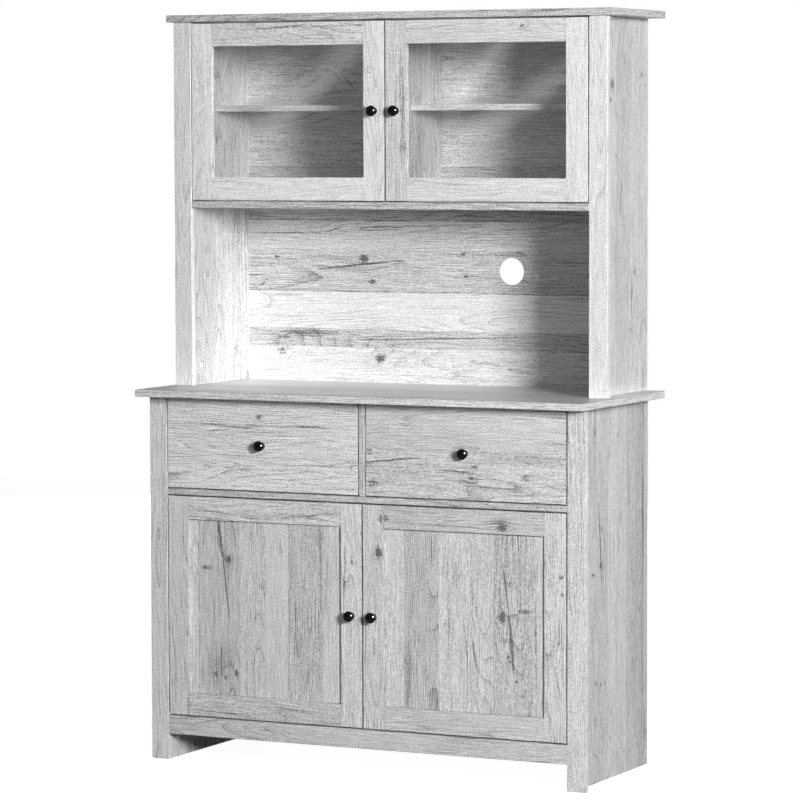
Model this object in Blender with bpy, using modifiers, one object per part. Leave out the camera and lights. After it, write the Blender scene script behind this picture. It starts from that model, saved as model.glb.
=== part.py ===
"""Pantry cabinet: a hutch with two glass doors, standing on a buffet base with two drawers and two doors.

Metres, +Z up, the front towards -Y and the left of someone facing it towards -X.
The origin is on the floor under the middle of the worktop.
"""
import math

import bmesh
import bpy
from mathutils import Vector

# Overall sizes
TOTAL_HEIGHT = 1.800
WORKTOP_HEIGHT = 0.900
WORKTOP_WIDTH = 1.178
WORKTOP_DEPTH = 0.483
WORKTOP_THICKNESS = 0.017
CROWN_SIDE_INSET = 0.001
CROWN_THICKNESS = 0.017
CROWN_FRONT_OVERHANG = 0.011

# Where the two cases stand under and on the worktop
BASE_SIDE_INSET = 0.014
BASE_SETBACK = 0.047
HUTCH_SIDE_INSET = 0.0155
HUTCH_SETBACK = 0.172

# Boards of the cases
STILE_WIDTH = 0.047
STILE_THICKNESS = 0.015
STILE_REVEAL = 0.001
SIDE_THICKNESS = 0.016
FLOOR_THICKNESS = 0.016
DRAWER_DECK_THICKNESS = 0.015
HUTCH_DECK_THICKNESS = 0.017
UPRIGHT_THICKNESS = 0.016
BACK_THICKNESS = 0.003
BACK_INSET = 0.015
BACK_GROOVE_DEPTH = 0.005
TOE_CLEARANCE = 0.062
TOE_RAIL_HEIGHT = 0.046
OPEN_BAY_HEIGHT = 0.4335
CABLE_HOLE_DIAMETER = 0.066
CABLE_HOLE_OFFSET = 0.195
CABLE_HOLE_RISE = 0.279

# Loose shelves
SHELF_THICKNESS = 0.015
SHELF_END_PLAY = 0.0008
HUTCH_SHELF_RISE = 0.217
HUTCH_SHELF_DEPTH = 0.170
BASE_SHELF_RISE = 0.262
BASE_SHELF_SETBACK = 0.060

# Doors and drawer fronts, all set in flush with the stiles
FRONT_GAP = 0.002
TOP_GAP = 0.003
FRONT_THICKNESS = 0.016
DOOR_STILE_WIDTH = 0.056
DOOR_RAIL_WIDTH = 0.056
PANEL_RECESS = 0.006
PANEL_THICKNESS = 0.004
PANEL_TONGUE = 0.006
GLASS_RECESS = 0.008
GLASS_THICKNESS = 0.004
GLASS_REBATE = 0.007
UPRIGHT_CLEARANCE = 0.002

# Drawers and the rail that each one runs on
DRAWER_FRONT_HEIGHT = 0.2175
DRAWER_BOX_HEIGHT = 0.150
DRAWER_BOX_LENGTH = 0.370
DRAWER_SIDE_THICKNESS = 0.012
DRAWER_BOTTOM_THICKNESS = 0.004
DRAWER_SIDE_PLAY = 0.005
RAIL_WIDTH = 0.030
RAIL_WEB_WIDTH = 0.012
RAIL_HEIGHT = 0.010
RAIL_FLANGE = 0.002
RAIL_LENGTH = 0.360

# Knobs
KNOB_DIAMETER = 0.026
KNOB_PROJECTION = 0.025
KNOB_RIM = 0.004
KNOB_DOME = 0.006
KNOB_NECK_DIAMETER = 0.010
KNOB_FOOT_LENGTH = 0.004
KNOB_CURVE_STEPS = 4

# Concealed hinges
CUP_DIAMETER = 0.035
CUP_DEPTH = 0.011
CUP_WALL = 0.001
CUP_FLANGE_WIDTH = 0.0025
CUP_FLANGE_THICKNESS = 0.0012
CUP_FROM_EDGE = 0.022
HINGE_FROM_END = 0.090
ARM_WIDTH = 0.014
ARM_THICKNESS = 0.008
ARM_NOSE_OFFSET = 0.002
ARM_CRANK_START = 0.012
ARM_CRANK_END = 0.038
ARM_PLATE_END = 0.078
ARM_PLATE_HEIGHT = 0.017

# Small fits and finish
SEAM = 0.0003
EDGE_ROUND = 0.0008
SMOOTH_ANGLE = math.radians(35)
ROUND_STEPS = 24
CUT_PAST = 0.010

# Widths and planes that more than one piece shares
CROWN_WIDTH = WORKTOP_WIDTH - 2 * CROWN_SIDE_INSET
BASE_WIDTH = WORKTOP_WIDTH - 2 * BASE_SIDE_INSET
HUTCH_WIDTH = WORKTOP_WIDTH - 2 * HUTCH_SIDE_INSET
BACK = WORKTOP_DEPTH / 2
WORKTOP_FRONT = -WORKTOP_DEPTH / 2
BASE_FRONT = WORKTOP_FRONT + BASE_SETBACK
HUTCH_FRONT = WORKTOP_FRONT + HUTCH_SETBACK
WORKTOP_UNDERSIDE = WORKTOP_HEIGHT - WORKTOP_THICKNESS
CROWN_UNDERSIDE = TOTAL_HEIGHT - CROWN_THICKNESS
BACK_FACE = BACK - BACK_INSET - BACK_THICKNESS
TOE_RAIL_TOP = TOE_CLEARANCE + TOE_RAIL_HEIGHT
DRAWER_FRONT_TOP = WORKTOP_UNDERSIDE - TOP_GAP
DRAWER_FRONT_BOTTOM = DRAWER_FRONT_TOP - DRAWER_FRONT_HEIGHT
DRAWER_DECK_TOP = DRAWER_FRONT_BOTTOM - FRONT_GAP
DRAWER_DECK_UNDERSIDE = DRAWER_DECK_TOP - DRAWER_DECK_THICKNESS
HUTCH_DECK_UNDERSIDE = WORKTOP_HEIGHT + OPEN_BAY_HEIGHT
HUTCH_DECK_TOP = HUTCH_DECK_UNDERSIDE + HUTCH_DECK_THICKNESS
BASE_OPENING = BASE_WIDTH / 2 - STILE_WIDTH
HUTCH_OPENING = HUTCH_WIDTH / 2 - STILE_WIDTH
UPRIGHT_FACE = UPRIGHT_THICKNESS / 2
SIDES = {"left": -1, "right": 1}


def clear_scene():
    for item in list(bpy.data.objects):
        bpy.data.objects.remove(item, do_unlink=True)


def new_collection(name):
    collection = bpy.data.collections.new(name)
    bpy.context.scene.collection.children.link(collection)
    return collection


def new_material(name, colour, roughness, metallic=0.0, alpha=1.0):
    material = bpy.data.materials.new(name)
    material.use_nodes = True
    shader = material.node_tree.nodes["Principled BSDF"]
    shader.inputs["Base Color"].default_value = (*colour, 1.0)
    shader.inputs["Roughness"].default_value = roughness
    shader.inputs["Metallic"].default_value = metallic
    shader.inputs["Alpha"].default_value = alpha
    material.diffuse_color = (*colour, alpha)
    return material


clear_scene()
PARTS = new_collection("pantry_cabinet")
CUTTERS = new_collection("cutters")
GREY_OAK = new_material("grey_oak_board", (0.62, 0.61, 0.60), 0.55)
BACKBOARD = new_material("grey_oak_backboard", (0.55, 0.54, 0.53), 0.65)
DRAWER_WRAP = new_material("drawer_wrap", (0.66, 0.65, 0.64), 0.6)
KNOB_BLACK = new_material("black_lacquer", (0.015, 0.015, 0.016), 0.2)
CLEAR_GLASS = new_material("clear_glass", (0.86, 0.92, 0.90), 0.05, alpha=0.3)
HINGE_STEEL = new_material("nickelled_steel", (0.62, 0.62, 0.60), 0.35, metallic=1.0)
RAIL_STEEL = new_material("painted_steel", (0.80, 0.80, 0.79), 0.4, metallic=0.2)


def add_object(name, mesh, material, origin=(0, 0, 0), parent=None):
    """Link a finished mesh, whose points are counted from origin, as one part of the cabinet."""
    mesh.materials.append(material)
    item = bpy.data.objects.new(name, mesh)
    PARTS.objects.link(item)
    item.location = Vector(origin)
    if parent is not None:
        item.parent = parent
        item.location -= parent.location
    return item


def add_pivot(name, place):
    pivot = bpy.data.objects.new(name, None)
    pivot.empty_display_size = 0.05
    pivot.location = place
    PARTS.objects.link(pivot)
    return pivot


def finish_mesh(bm, name):
    bmesh.ops.recalc_face_normals(bm, faces=bm.faces)
    mesh = bpy.data.meshes.new(name)
    bm.to_mesh(mesh)
    bm.free()
    return mesh


def box_mesh(name, size):
    bm = bmesh.new()
    bmesh.ops.create_cube(bm, size=1.0)
    bmesh.ops.scale(bm, vec=size, verts=bm.verts)
    return finish_mesh(bm, name)


def add_bevel(item, width=EDGE_ROUND):
    bevel = item.modifiers.new("edge_round", "BEVEL")
    bevel.width = width
    bevel.segments = 1
    bevel.limit_method = "ANGLE"
    bevel.angle_limit = SMOOTH_ANGLE
    return bevel


def board(name, low, high, material=GREY_OAK, parent=None, edge=EDGE_ROUND):
    """A flat board between two corners, with its edges slightly rounded."""
    low, high = Vector(low), Vector(high)
    item = add_object(name, box_mesh(name, high - low), material, (low + high) / 2, parent)
    if edge:
        add_bevel(item, edge)
    return item


def cutter_box(name, low, high):
    low, high = Vector(low), Vector(high)
    item = bpy.data.objects.new(name, box_mesh(name, high - low))
    item.location = (low + high) / 2
    return hide_cutter(item)


def cutter_drill(name, centre, diameter, length):
    """A round cutter along Y, centred on a point."""
    bm = bmesh.new()
    bmesh.ops.create_cone(bm, cap_ends=True, segments=ROUND_STEPS, depth=length,
                          radius1=diameter / 2, radius2=diameter / 2)
    item = bpy.data.objects.new(name, finish_mesh(bm, name))
    item.rotation_euler = (math.pi / 2, 0, 0)
    item.location = centre
    return hide_cutter(item)


def hide_cutter(item):
    CUTTERS.objects.link(item)
    item.hide_render = True
    item.display_type = "WIRE"
    return item


def cut(item, cutter):
    boolean = item.modifiers.new(cutter.name, "BOOLEAN")
    boolean.operation = "DIFFERENCE"
    boolean.solver = "EXACT"
    boolean.object = cutter


def turned(name, profile, material, origin, parent, flip=False):
    """A piece turned about an axis along Y, from (radius, distance towards the back) points."""
    bm = bmesh.new()
    verts = [bm.verts.new((radius, along, 0)) for radius, along in profile]
    for first, second in zip(verts, verts[1:]):
        bm.edges.new((first, second))
    mesh = bpy.data.meshes.new(name)
    bm.to_mesh(mesh)
    bm.free()
    item = add_object(name, mesh, material, origin, parent)
    screw = item.modifiers.new("turn", "SCREW")
    screw.axis = "Y"
    screw.steps = ROUND_STEPS
    screw.render_steps = ROUND_STEPS
    screw.use_merge_vertices = True
    screw.merge_threshold = 0.00001
    screw.use_normal_calculate = True
    screw.use_normal_flip = flip
    return item


# The base: two sides behind two stiles, with a floor, a toe rail, a drawer deck, uprights and a back
def case_side(name, hand, opening, front, low, high):
    """A side panel behind its stile, grooved near the back edge for the backboard."""
    inner = hand * (opening + STILE_REVEAL)
    outer = hand * (opening + STILE_REVEAL + SIDE_THICKNESS)
    side = board(name, (min(inner, outer), front + STILE_THICKNESS + SEAM, low),
                 (max(inner, outer), BACK, high))
    groove_end = hand * (opening + STILE_REVEAL + BACK_GROOVE_DEPTH)
    groove_mouth = inner - hand * CUT_PAST
    groove = cutter_box(name + "_groove",
                        (min(groove_mouth, groove_end), BACK_FACE - SEAM, low - CUT_PAST),
                        (max(groove_mouth, groove_end), BACK_FACE + BACK_THICKNESS + SEAM, high + CUT_PAST))
    cut(side, groove)
    return side


def case_stile(name, hand, width, front, low, high):
    outer = hand * width / 2
    inner = hand * (width / 2 - STILE_WIDTH)
    return board(name, (min(inner, outer), front, low), (max(inner, outer), front + STILE_THICKNESS, high))


def backboard(name, opening, low, high):
    half = opening + STILE_REVEAL + BACK_GROOVE_DEPTH - SEAM
    return board(name, (-half, BACK_FACE, low), (half, BACK_FACE + BACK_THICKNESS, high), BACKBOARD, edge=0)


def build_base():
    top = WORKTOP_UNDERSIDE - SEAM
    clear_half = BASE_OPENING - SEAM
    inner_half = BASE_OPENING + STILE_REVEAL - SEAM
    inside_back = BACK_FACE - SEAM
    for word, hand in SIDES.items():
        case_side("base_side_" + word, hand, BASE_OPENING, BASE_FRONT, 0, top)
        case_stile("base_stile_" + word, hand, BASE_WIDTH, BASE_FRONT, 0, top)
    board("toe_rail", (-clear_half, BASE_FRONT, TOE_CLEARANCE),
          (clear_half, BASE_FRONT + STILE_THICKNESS, TOE_RAIL_TOP))
    board("base_floor", (-inner_half, BASE_FRONT + STILE_THICKNESS + SEAM, TOE_RAIL_TOP - FLOOR_THICKNESS),
          (inner_half, inside_back, TOE_RAIL_TOP))
    board("drawer_deck", (-clear_half, BASE_FRONT, DRAWER_DECK_UNDERSIDE),
          (clear_half, inside_back, DRAWER_DECK_TOP))
    board("drawer_divider", (-UPRIGHT_FACE, BASE_FRONT, DRAWER_DECK_TOP + SEAM),
          (UPRIGHT_FACE, inside_back, top))
    board("cupboard_divider", (-UPRIGHT_FACE, BASE_FRONT + FRONT_THICKNESS + UPRIGHT_CLEARANCE,
                               TOE_RAIL_TOP + SEAM),
          (UPRIGHT_FACE, inside_back, DRAWER_DECK_UNDERSIDE - SEAM))
    backboard("base_back", BASE_OPENING, TOE_RAIL_TOP - FLOOR_THICKNESS, top)
    board("worktop", (-WORKTOP_WIDTH / 2, WORKTOP_FRONT, WORKTOP_UNDERSIDE),
          (WORKTOP_WIDTH / 2, BACK, WORKTOP_HEIGHT))


def build_hutch():
    low = WORKTOP_HEIGHT + SEAM
    top = CROWN_UNDERSIDE - SEAM
    inside_back = BACK_FACE - SEAM
    for word, hand in SIDES.items():
        case_side("hutch_side_" + word, hand, HUTCH_OPENING, HUTCH_FRONT, low, top)
        case_stile("hutch_stile_" + word, hand, HUTCH_WIDTH, HUTCH_FRONT, low, top)
    clear_half = HUTCH_OPENING - SEAM
    board("hutch_deck", (-clear_half, HUTCH_FRONT, HUTCH_DECK_UNDERSIDE),
          (clear_half, inside_back, HUTCH_DECK_TOP))
    board("hutch_divider", (-UPRIGHT_FACE, HUTCH_FRONT + FRONT_THICKNESS + UPRIGHT_CLEARANCE,
                            HUTCH_DECK_TOP + SEAM),
          (UPRIGHT_FACE, inside_back, top))
    back = backboard("hutch_back", HUTCH_OPENING, low, top)
    hole_centre = (CABLE_HOLE_OFFSET, BACK_FACE + BACK_THICKNESS / 2, WORKTOP_HEIGHT + CABLE_HOLE_RISE)
    cut(back, cutter_drill("cable_hole", hole_centre, CABLE_HOLE_DIAMETER, BACK_THICKNESS + CUT_PAST))
    board("crown_board", (-CROWN_WIDTH / 2, HUTCH_FRONT - CROWN_FRONT_OVERHANG, CROWN_UNDERSIDE),
          (CROWN_WIDTH / 2, BACK, TOTAL_HEIGHT))


def loose_shelf(name, hand, opening, front, underside):
    """A shelf on pins between a case side and the upright in the middle."""
    near = hand * (UPRIGHT_FACE + SHELF_END_PLAY)
    far = hand * (opening + STILE_REVEAL - SHELF_END_PLAY)
    return board(name, (min(near, far), front, underside),
                 (max(near, far), BACK_FACE - SHELF_END_PLAY, underside + SHELF_THICKNESS))


def build_shelves():
    for word, hand in SIDES.items():
        loose_shelf("base_shelf_" + word, hand, BASE_OPENING,
                    BASE_FRONT + BASE_SHELF_SETBACK, TOE_RAIL_TOP + BASE_SHELF_RISE)
        loose_shelf("hutch_shelf_" + word, hand, HUTCH_OPENING,
                    BACK_FACE - HUTCH_SHELF_DEPTH, HUTCH_DECK_TOP + HUTCH_SHELF_RISE)


def frame_mesh(name, width, height, stile, rail):
    """A flat frame standing in the XZ plane, open through its middle."""
    bm = bmesh.new()
    bmesh.ops.create_cube(bm, size=1.0)
    bmesh.ops.scale(bm, vec=(width, FRONT_THICKNESS, height), verts=bm.verts)
    bm.normal_update()
    faces = [face for face in bm.faces if abs(face.normal.y) > 0.5]
    bmesh.ops.inset_individual(bm, faces=faces, thickness=rail)
    for vert in {vert for face in faces for vert in face.verts}:
        vert.co.x = math.copysign(width / 2 - stile, vert.co.x)
        vert.co.z = math.copysign(height / 2 - rail, vert.co.z)
    rims = [edge for face in faces for edge in face.edges]
    bmesh.ops.delete(bm, geom=faces, context="FACES_ONLY")
    bmesh.ops.bridge_loops(bm, edges=rims)
    return finish_mesh(bm, name)


def knob(name, centre, front, parent):
    """A mushroom knob on a thin neck, screwed to a front whose face is at front."""
    head = KNOB_DIAMETER / 2
    neck = KNOB_NECK_DIAMETER / 2
    rim_back = -(KNOB_PROJECTION - KNOB_DOME - KNOB_RIM)
    rim_front = rim_back - KNOB_RIM
    foot_front = -SEAM - KNOB_FOOT_LENGTH
    profile = [(0, -KNOB_PROJECTION)]
    for step in range(1, KNOB_CURVE_STEPS + 1):
        angle = math.pi / 2 * step / KNOB_CURVE_STEPS
        profile.append((head * math.sin(angle), rim_front - KNOB_DOME * math.cos(angle)))
    for step in range(KNOB_CURVE_STEPS + 1):
        share = step / KNOB_CURVE_STEPS
        radius = neck + (head - neck) * (1 - math.sin(math.pi / 2 * share))
        profile.append((radius, rim_back + (foot_front - rim_back) * share))
    profile.append((neck, -SEAM))
    profile.append((0, -SEAM))
    return turned(name, profile, KNOB_BLACK, (centre.x, front, centre.y), parent)


def hinge_cup(name, centre, parent):
    """A steel cup set in the back of a door: centre lies on the door's back face."""
    radius = CUP_DIAMETER / 2
    bottom = -CUP_DEPTH
    lip = SEAM + CUP_FLANGE_THICKNESS
    profile = [(0, bottom), (radius, bottom), (radius, SEAM), (radius + CUP_FLANGE_WIDTH, SEAM),
               (radius + CUP_FLANGE_WIDTH, lip), (radius - CUP_WALL, lip),
               (radius - CUP_WALL, bottom + CUP_WALL), (0, bottom + CUP_WALL)]
    return turned(name, profile, HINGE_STEEL, centre, parent, flip=True)


def hinge_arm(name, hand, side_face, door_edge, door_back, height):
    """The cranked arm and its foot on the case side, with its nose in the hinge cup."""
    nose_middle = abs(door_edge) - CUP_FROM_EDGE - ARM_NOSE_OFFSET
    nose_near = abs(side_face) - nose_middle - ARM_THICKNESS / 2
    nose_far = nose_near + ARM_THICKNESS
    tip = -CUP_DEPTH + CUP_WALL + SEAM
    heel = SEAM + ARM_PLATE_HEIGHT
    outline = [(nose_near, tip), (nose_far, tip), (nose_far, ARM_CRANK_START), (heel, ARM_CRANK_END),
               (heel, ARM_PLATE_END), (SEAM, ARM_PLATE_END), (SEAM, ARM_CRANK_END),
               (heel - ARM_THICKNESS, ARM_CRANK_END), (nose_near, ARM_CRANK_START)]
    bm = bmesh.new()
    verts = [bm.verts.new((-hand * along, back, -ARM_WIDTH / 2)) for along, back in outline]
    face = bm.faces.new(verts)
    grown = bmesh.ops.extrude_face_region(bm, geom=[face])
    moved = [part for part in grown["geom"] if isinstance(part, bmesh.types.BMVert)]
    bmesh.ops.translate(bm, vec=(0, 0, ARM_WIDTH), verts=moved)
    return add_object(name, finish_mesh(bm, name), HINGE_STEEL, (side_face, door_back, height))


def build_door(place, word, hand, opening, front, low, high, glazed):
    """One door on its two hinges, opening about the front corner of its hinged edge."""
    name = place + "_door_" + word
    hinged_edge = hand * (opening - FRONT_GAP)
    meeting_edge = hand * FRONT_GAP / 2
    width = abs(hinged_edge - meeting_edge)
    middle = Vector(((hinged_edge + meeting_edge) / 2, front + FRONT_THICKNESS / 2, (low + high) / 2))
    pivot = add_pivot(name + "_pivot", (hinged_edge, front, middle.z))
    mesh = frame_mesh(name + "_frame", width, high - low, DOOR_STILE_WIDTH, DOOR_RAIL_WIDTH)
    frame = add_object(name + "_frame", mesh, GREY_OAK, middle, pivot)
    add_bevel(frame)
    half_x = width / 2 - DOOR_STILE_WIDTH
    half_z = (high - low) / 2 - DOOR_RAIL_WIDTH
    recess = GLASS_RECESS if glazed else PANEL_RECESS
    thickness = GLASS_THICKNESS if glazed else PANEL_THICKNESS
    lap = GLASS_REBATE if glazed else PANEL_TONGUE
    infill_front = front + recess
    slot_back = front + FRONT_THICKNESS + CUT_PAST if glazed else infill_front + thickness + SEAM
    slot = cutter_box(name + "_slot",
                      (middle.x - half_x - lap, infill_front - SEAM, middle.z - half_z - lap),
                      (middle.x + half_x + lap, slot_back, middle.z + half_z + lap))
    cut(frame, slot)
    reach = lap - SEAM
    board(name + ("_glass" if glazed else "_panel"),
          (middle.x - half_x - reach, infill_front, middle.z - half_z - reach),
          (middle.x + half_x + reach, infill_front + thickness, middle.z + half_z + reach),
          CLEAR_GLASS if glazed else GREY_OAK, pivot, edge=0)
    knob(name + "_knob", Vector((meeting_edge + hand * DOOR_STILE_WIDTH / 2, middle.z)), front, pivot)
    side_face = hand * (opening + STILE_REVEAL)
    door_back = front + FRONT_THICKNESS
    for level, height in (("lower", low + HINGE_FROM_END), ("upper", high - HINGE_FROM_END)):
        cup_centre = (hinged_edge - hand * CUP_FROM_EDGE, door_back, height)
        bore = cutter_drill(name + "_bore_" + level, cup_centre, CUP_DIAMETER + 2 * SEAM,
                            2 * (CUP_DEPTH + SEAM))
        cut(frame, bore)
        hinge_cup(name + "_cup_" + level, cup_centre, pivot)
        hinge_arm(name + "_arm_" + level, hand, side_face, hinged_edge, door_back, height)


def build_doors():
    for word, hand in SIDES.items():
        build_door("base", word, hand, BASE_OPENING, BASE_FRONT,
                   TOE_RAIL_TOP + FRONT_GAP, DRAWER_DECK_UNDERSIDE - FRONT_GAP, glazed=False)
        build_door("hutch", word, hand, HUTCH_OPENING, HUTCH_FRONT,
                   HUTCH_DECK_TOP + FRONT_GAP, CROWN_UNDERSIDE - TOP_GAP, glazed=True)


def drawer_rail(name, middle):
    """The fixed steel rail that keeps a drawer straight: a foot on the deck with a web standing on it."""
    bm = bmesh.new()
    foot, web = RAIL_WIDTH / 2, RAIL_WEB_WIDTH / 2
    outline = [(-foot, 0), (foot, 0), (foot, RAIL_FLANGE), (web, RAIL_FLANGE), (web, RAIL_HEIGHT),
               (-web, RAIL_HEIGHT), (-web, RAIL_FLANGE), (-foot, RAIL_FLANGE)]
    verts = [bm.verts.new((across, 0, up)) for across, up in outline]
    grown = bmesh.ops.extrude_face_region(bm, geom=[bm.faces.new(verts)])
    moved = [part for part in grown["geom"] if isinstance(part, bmesh.types.BMVert)]
    bmesh.ops.translate(bm, vec=(0, RAIL_LENGTH, 0), verts=moved)
    start = BASE_FRONT + FRONT_THICKNESS + UPRIGHT_CLEARANCE
    return add_object(name, finish_mesh(bm, name), RAIL_STEEL, (middle, start, DRAWER_DECK_TOP + SEAM))


def build_drawers():
    """Each drawer slides on the lower edges of its box's sides, over the rail in the middle."""
    for word, hand in SIDES.items():
        name = "drawer_" + word
        near = hand * (UPRIGHT_FACE + FRONT_GAP)
        far = hand * (BASE_OPENING - FRONT_GAP)
        middle = (near + far) / 2
        centre_z = (DRAWER_FRONT_BOTTOM + DRAWER_FRONT_TOP) / 2
        pivot = add_pivot(name + "_slide", (middle, BASE_FRONT, centre_z))
        board(name + "_front", (min(near, far), BASE_FRONT, DRAWER_FRONT_BOTTOM),
              (max(near, far), BASE_FRONT + FRONT_THICKNESS, DRAWER_FRONT_TOP), GREY_OAK, pivot)
        knob(name + "_knob", Vector((middle, centre_z)), BASE_FRONT, pivot)
        box_near = hand * (UPRIGHT_FACE + DRAWER_SIDE_PLAY)
        box_far = hand * (BASE_OPENING - DRAWER_SIDE_PLAY)
        box_low = DRAWER_DECK_TOP + SEAM
        box_front = BASE_FRONT + FRONT_THICKNESS + SEAM
        box_back = box_front + DRAWER_BOX_LENGTH
        bottom_low = box_low + RAIL_HEIGHT + SEAM
        tray = board(name + "_box", (min(box_near, box_far), box_front, box_low),
                     (max(box_near, box_far), box_back, box_low + DRAWER_BOX_HEIGHT), DRAWER_WRAP, pivot)
        wall = DRAWER_SIDE_THICKNESS
        inside = cutter_box(name + "_inside",
                            (min(box_near, box_far) + wall, box_front + wall,
                             bottom_low + DRAWER_BOTTOM_THICKNESS),
                            (max(box_near, box_far) - wall, box_back - wall,
                             box_low + DRAWER_BOX_HEIGHT + CUT_PAST))
        cut(tray, inside)
        rail_way = cutter_box(name + "_rail_way",
                              (min(box_near, box_far) + wall, box_front - CUT_PAST, box_low - CUT_PAST),
                              (max(box_near, box_far) - wall, box_back + CUT_PAST, bottom_low))
        cut(tray, rail_way)
        drawer_rail(name + "_rail", middle)


build_base()
build_hutch()
build_shelves()
build_doors()
build_drawers()
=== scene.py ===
"""Looks of the pantry cabinet: grey oak foil on flat boards, black knobs, clear glass, nickelled hinges.

Metres, +Z up, the front towards -Y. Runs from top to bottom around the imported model.
"""
import math
import random

import bmesh
import bpy
from mathutils import Matrix, Vector


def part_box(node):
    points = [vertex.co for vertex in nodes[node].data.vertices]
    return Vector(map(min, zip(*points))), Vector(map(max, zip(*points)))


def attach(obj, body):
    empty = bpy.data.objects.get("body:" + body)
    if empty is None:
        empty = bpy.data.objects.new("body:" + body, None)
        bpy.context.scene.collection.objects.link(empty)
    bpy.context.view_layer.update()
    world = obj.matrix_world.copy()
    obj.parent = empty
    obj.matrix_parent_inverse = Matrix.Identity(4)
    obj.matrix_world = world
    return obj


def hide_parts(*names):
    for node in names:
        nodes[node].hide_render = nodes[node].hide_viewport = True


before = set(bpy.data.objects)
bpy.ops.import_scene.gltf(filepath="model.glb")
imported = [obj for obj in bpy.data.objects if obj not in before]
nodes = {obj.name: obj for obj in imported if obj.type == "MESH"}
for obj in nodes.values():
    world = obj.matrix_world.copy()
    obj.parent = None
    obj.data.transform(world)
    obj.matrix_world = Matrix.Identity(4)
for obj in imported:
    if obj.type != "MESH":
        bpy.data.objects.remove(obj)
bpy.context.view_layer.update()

# The view and the studio.
# A camera with a long lens, 26 degrees to the right of the front, and a white floor in a white surround. A
# soft lamp is at the front right, a faint one at the front left, one behind, and one only glints on gloss.
CAMERA_PLACE = Vector((4.0311, -8.0918, 1.5128))
CAMERA_AIM = Vector((-0.44443, 0.89291, -0.07200)).normalized()
CAMERA_ROLL = math.radians(-0.15)
CAMERA_LENS = 170.291
CAMERA_SENSOR = 36
CAMERA_SHIFT = (0.000163, 0.00839)
CAMERA_REACH = 100
# Each lamp's azimuth and elevation in degrees, size and watts, and whether gloss and matt surfaces show it.
LAMPS = {"key": (50.4, 11, 1.35, 565, True, True), "fill": (-25, 12, 3.0, 32, False, True),
         "rear": (-143, 0, 1.2, 400, False, True), "glint": (56, 18, 1.4, 5500, True, False)}
LAMP_DISTANCE = 7.0
LAMP_TARGET = Vector((0, -0.1, 0.95))
SURROUND = 0.07
MIRRORED_SURROUND = 0.35
MIRRORED_SHADE = 0.05
SHADE_MIDDLE = (0, 1.55)
SHADE_EDGE = (0.88, 0.97)
MIRRORED_STRIP = 1.8
STRIP_SIDE_FADE = 2.2
STRIP_END_FADE = (1.9, 0.7)
PANE_FACE = -0.0635
STRIPS = (((-0.090, 1.712), (-0.285, 1.555), 0.046), ((0.315, 1.735), (0.195, 1.600), 0.034),
          ((0.455, 1.645), (0.240, 1.510), 0.044))
FLOOR_HALF = 6.0
FLOOR_DROP = 0.0006
FLOOR_GREY = 0.2
FLOOR_GLOW = 0.96


def place_object(name, data):
    made = bpy.data.objects.new(name, data)
    bpy.context.scene.collection.objects.link(made)
    return made


def mesh_object(name, bm):
    """Makes the bmesh an object."""
    mesh = bpy.data.meshes.new(name)
    bm.to_mesh(mesh)
    bm.free()
    return place_object(name, mesh)


def put_camera():
    data = bpy.data.cameras.new("photo_view")
    data.lens = CAMERA_LENS
    data.sensor_width = CAMERA_SENSOR
    data.shift_x, data.shift_y = CAMERA_SHIFT
    data.clip_end = CAMERA_REACH
    camera = place_object("photo_view", data)
    right = CAMERA_AIM.cross(Vector((0, 0, 1))).normalized()
    up = right.cross(CAMERA_AIM)
    level = Matrix((right, up, -CAMERA_AIM)).transposed()
    turn = Matrix.Rotation(CAMERA_ROLL, 3, "Z")
    camera.matrix_world = Matrix.Translation(CAMERA_PLACE) @ (level @ turn).to_4x4()
    bpy.context.scene.camera = camera


def put_lamp(name, azimuth, elevation, size, watts, on_gloss, on_matt):
    """A square lamp that faces the cabinet; azimuth 0 is straight in front, and it grows to the right."""
    data = bpy.data.lights.new(name, "AREA")
    data.shape = "SQUARE"
    data.size = size
    data.energy = watts
    lamp = place_object(name, data)
    side, rise = math.radians(azimuth), math.radians(elevation)
    way = Vector((math.sin(side) * math.cos(rise), -math.cos(side) * math.cos(rise), math.sin(rise)))
    lamp.location = LAMP_TARGET + way * LAMP_DISTANCE
    lamp.rotation_euler = (-way).to_track_quat("-Z", "Y").to_euler()
    lamp.visible_glossy = on_gloss
    lamp.visible_diffuse = on_matt


def fill_sockets(tree, made, sockets):
    """Gives each of a node's sockets a value or another node's output."""
    for key, value in sockets.items():
        if isinstance(value, bpy.types.NodeSocket):
            tree.links.new(value, made.inputs[key])
        else:
            made.inputs[key].default_value = value


def shader_node(tree, kind, sockets=None, **settings):
    """A node with its settings and its sockets filled."""
    made = tree.nodes.new("ShaderNode" + kind)
    for key, value in settings.items():
        setattr(made, key, value)
    fill_sockets(tree, made, sockets or {})
    return made


def maths(tree, operation, *values, clamp=False):
    sockets = dict(enumerate(values))
    return shader_node(tree, "Math", sockets, operation=operation, use_clamp=clamp).outputs[0]


def vector_maths(tree, operation, *values):
    made = shader_node(tree, "VectorMath", dict(enumerate(values)), operation=operation)
    return made.outputs["Value" if operation in ("DOT_PRODUCT", "LENGTH", "DISTANCE") else "Vector"]


def ease(tree, value, start, end, low=0.0, high=1.0):
    """A smooth step from low to high as the value goes from start to end."""
    return shader_node(tree, "MapRange", {"Value": value, "From Min": start, "From Max": end, "To Min": low,
                                          "To Max": high}, interpolation_type="SMOOTHSTEP").outputs[0]


def seen_directly(tree, mirrored):
    """1 for camera and transmission rays, which see the white surround, mirrored for glossy rays, else 0."""
    path = shader_node(tree, "LightPath").outputs
    glossy = maths(tree, "MULTIPLY", path["Is Glossy Ray"], mirrored)
    either = maths(tree, "MAXIMUM", path["Is Camera Ray"], glossy)
    return maths(tree, "MAXIMUM", either, path["Is Transmission Ray"])


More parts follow.
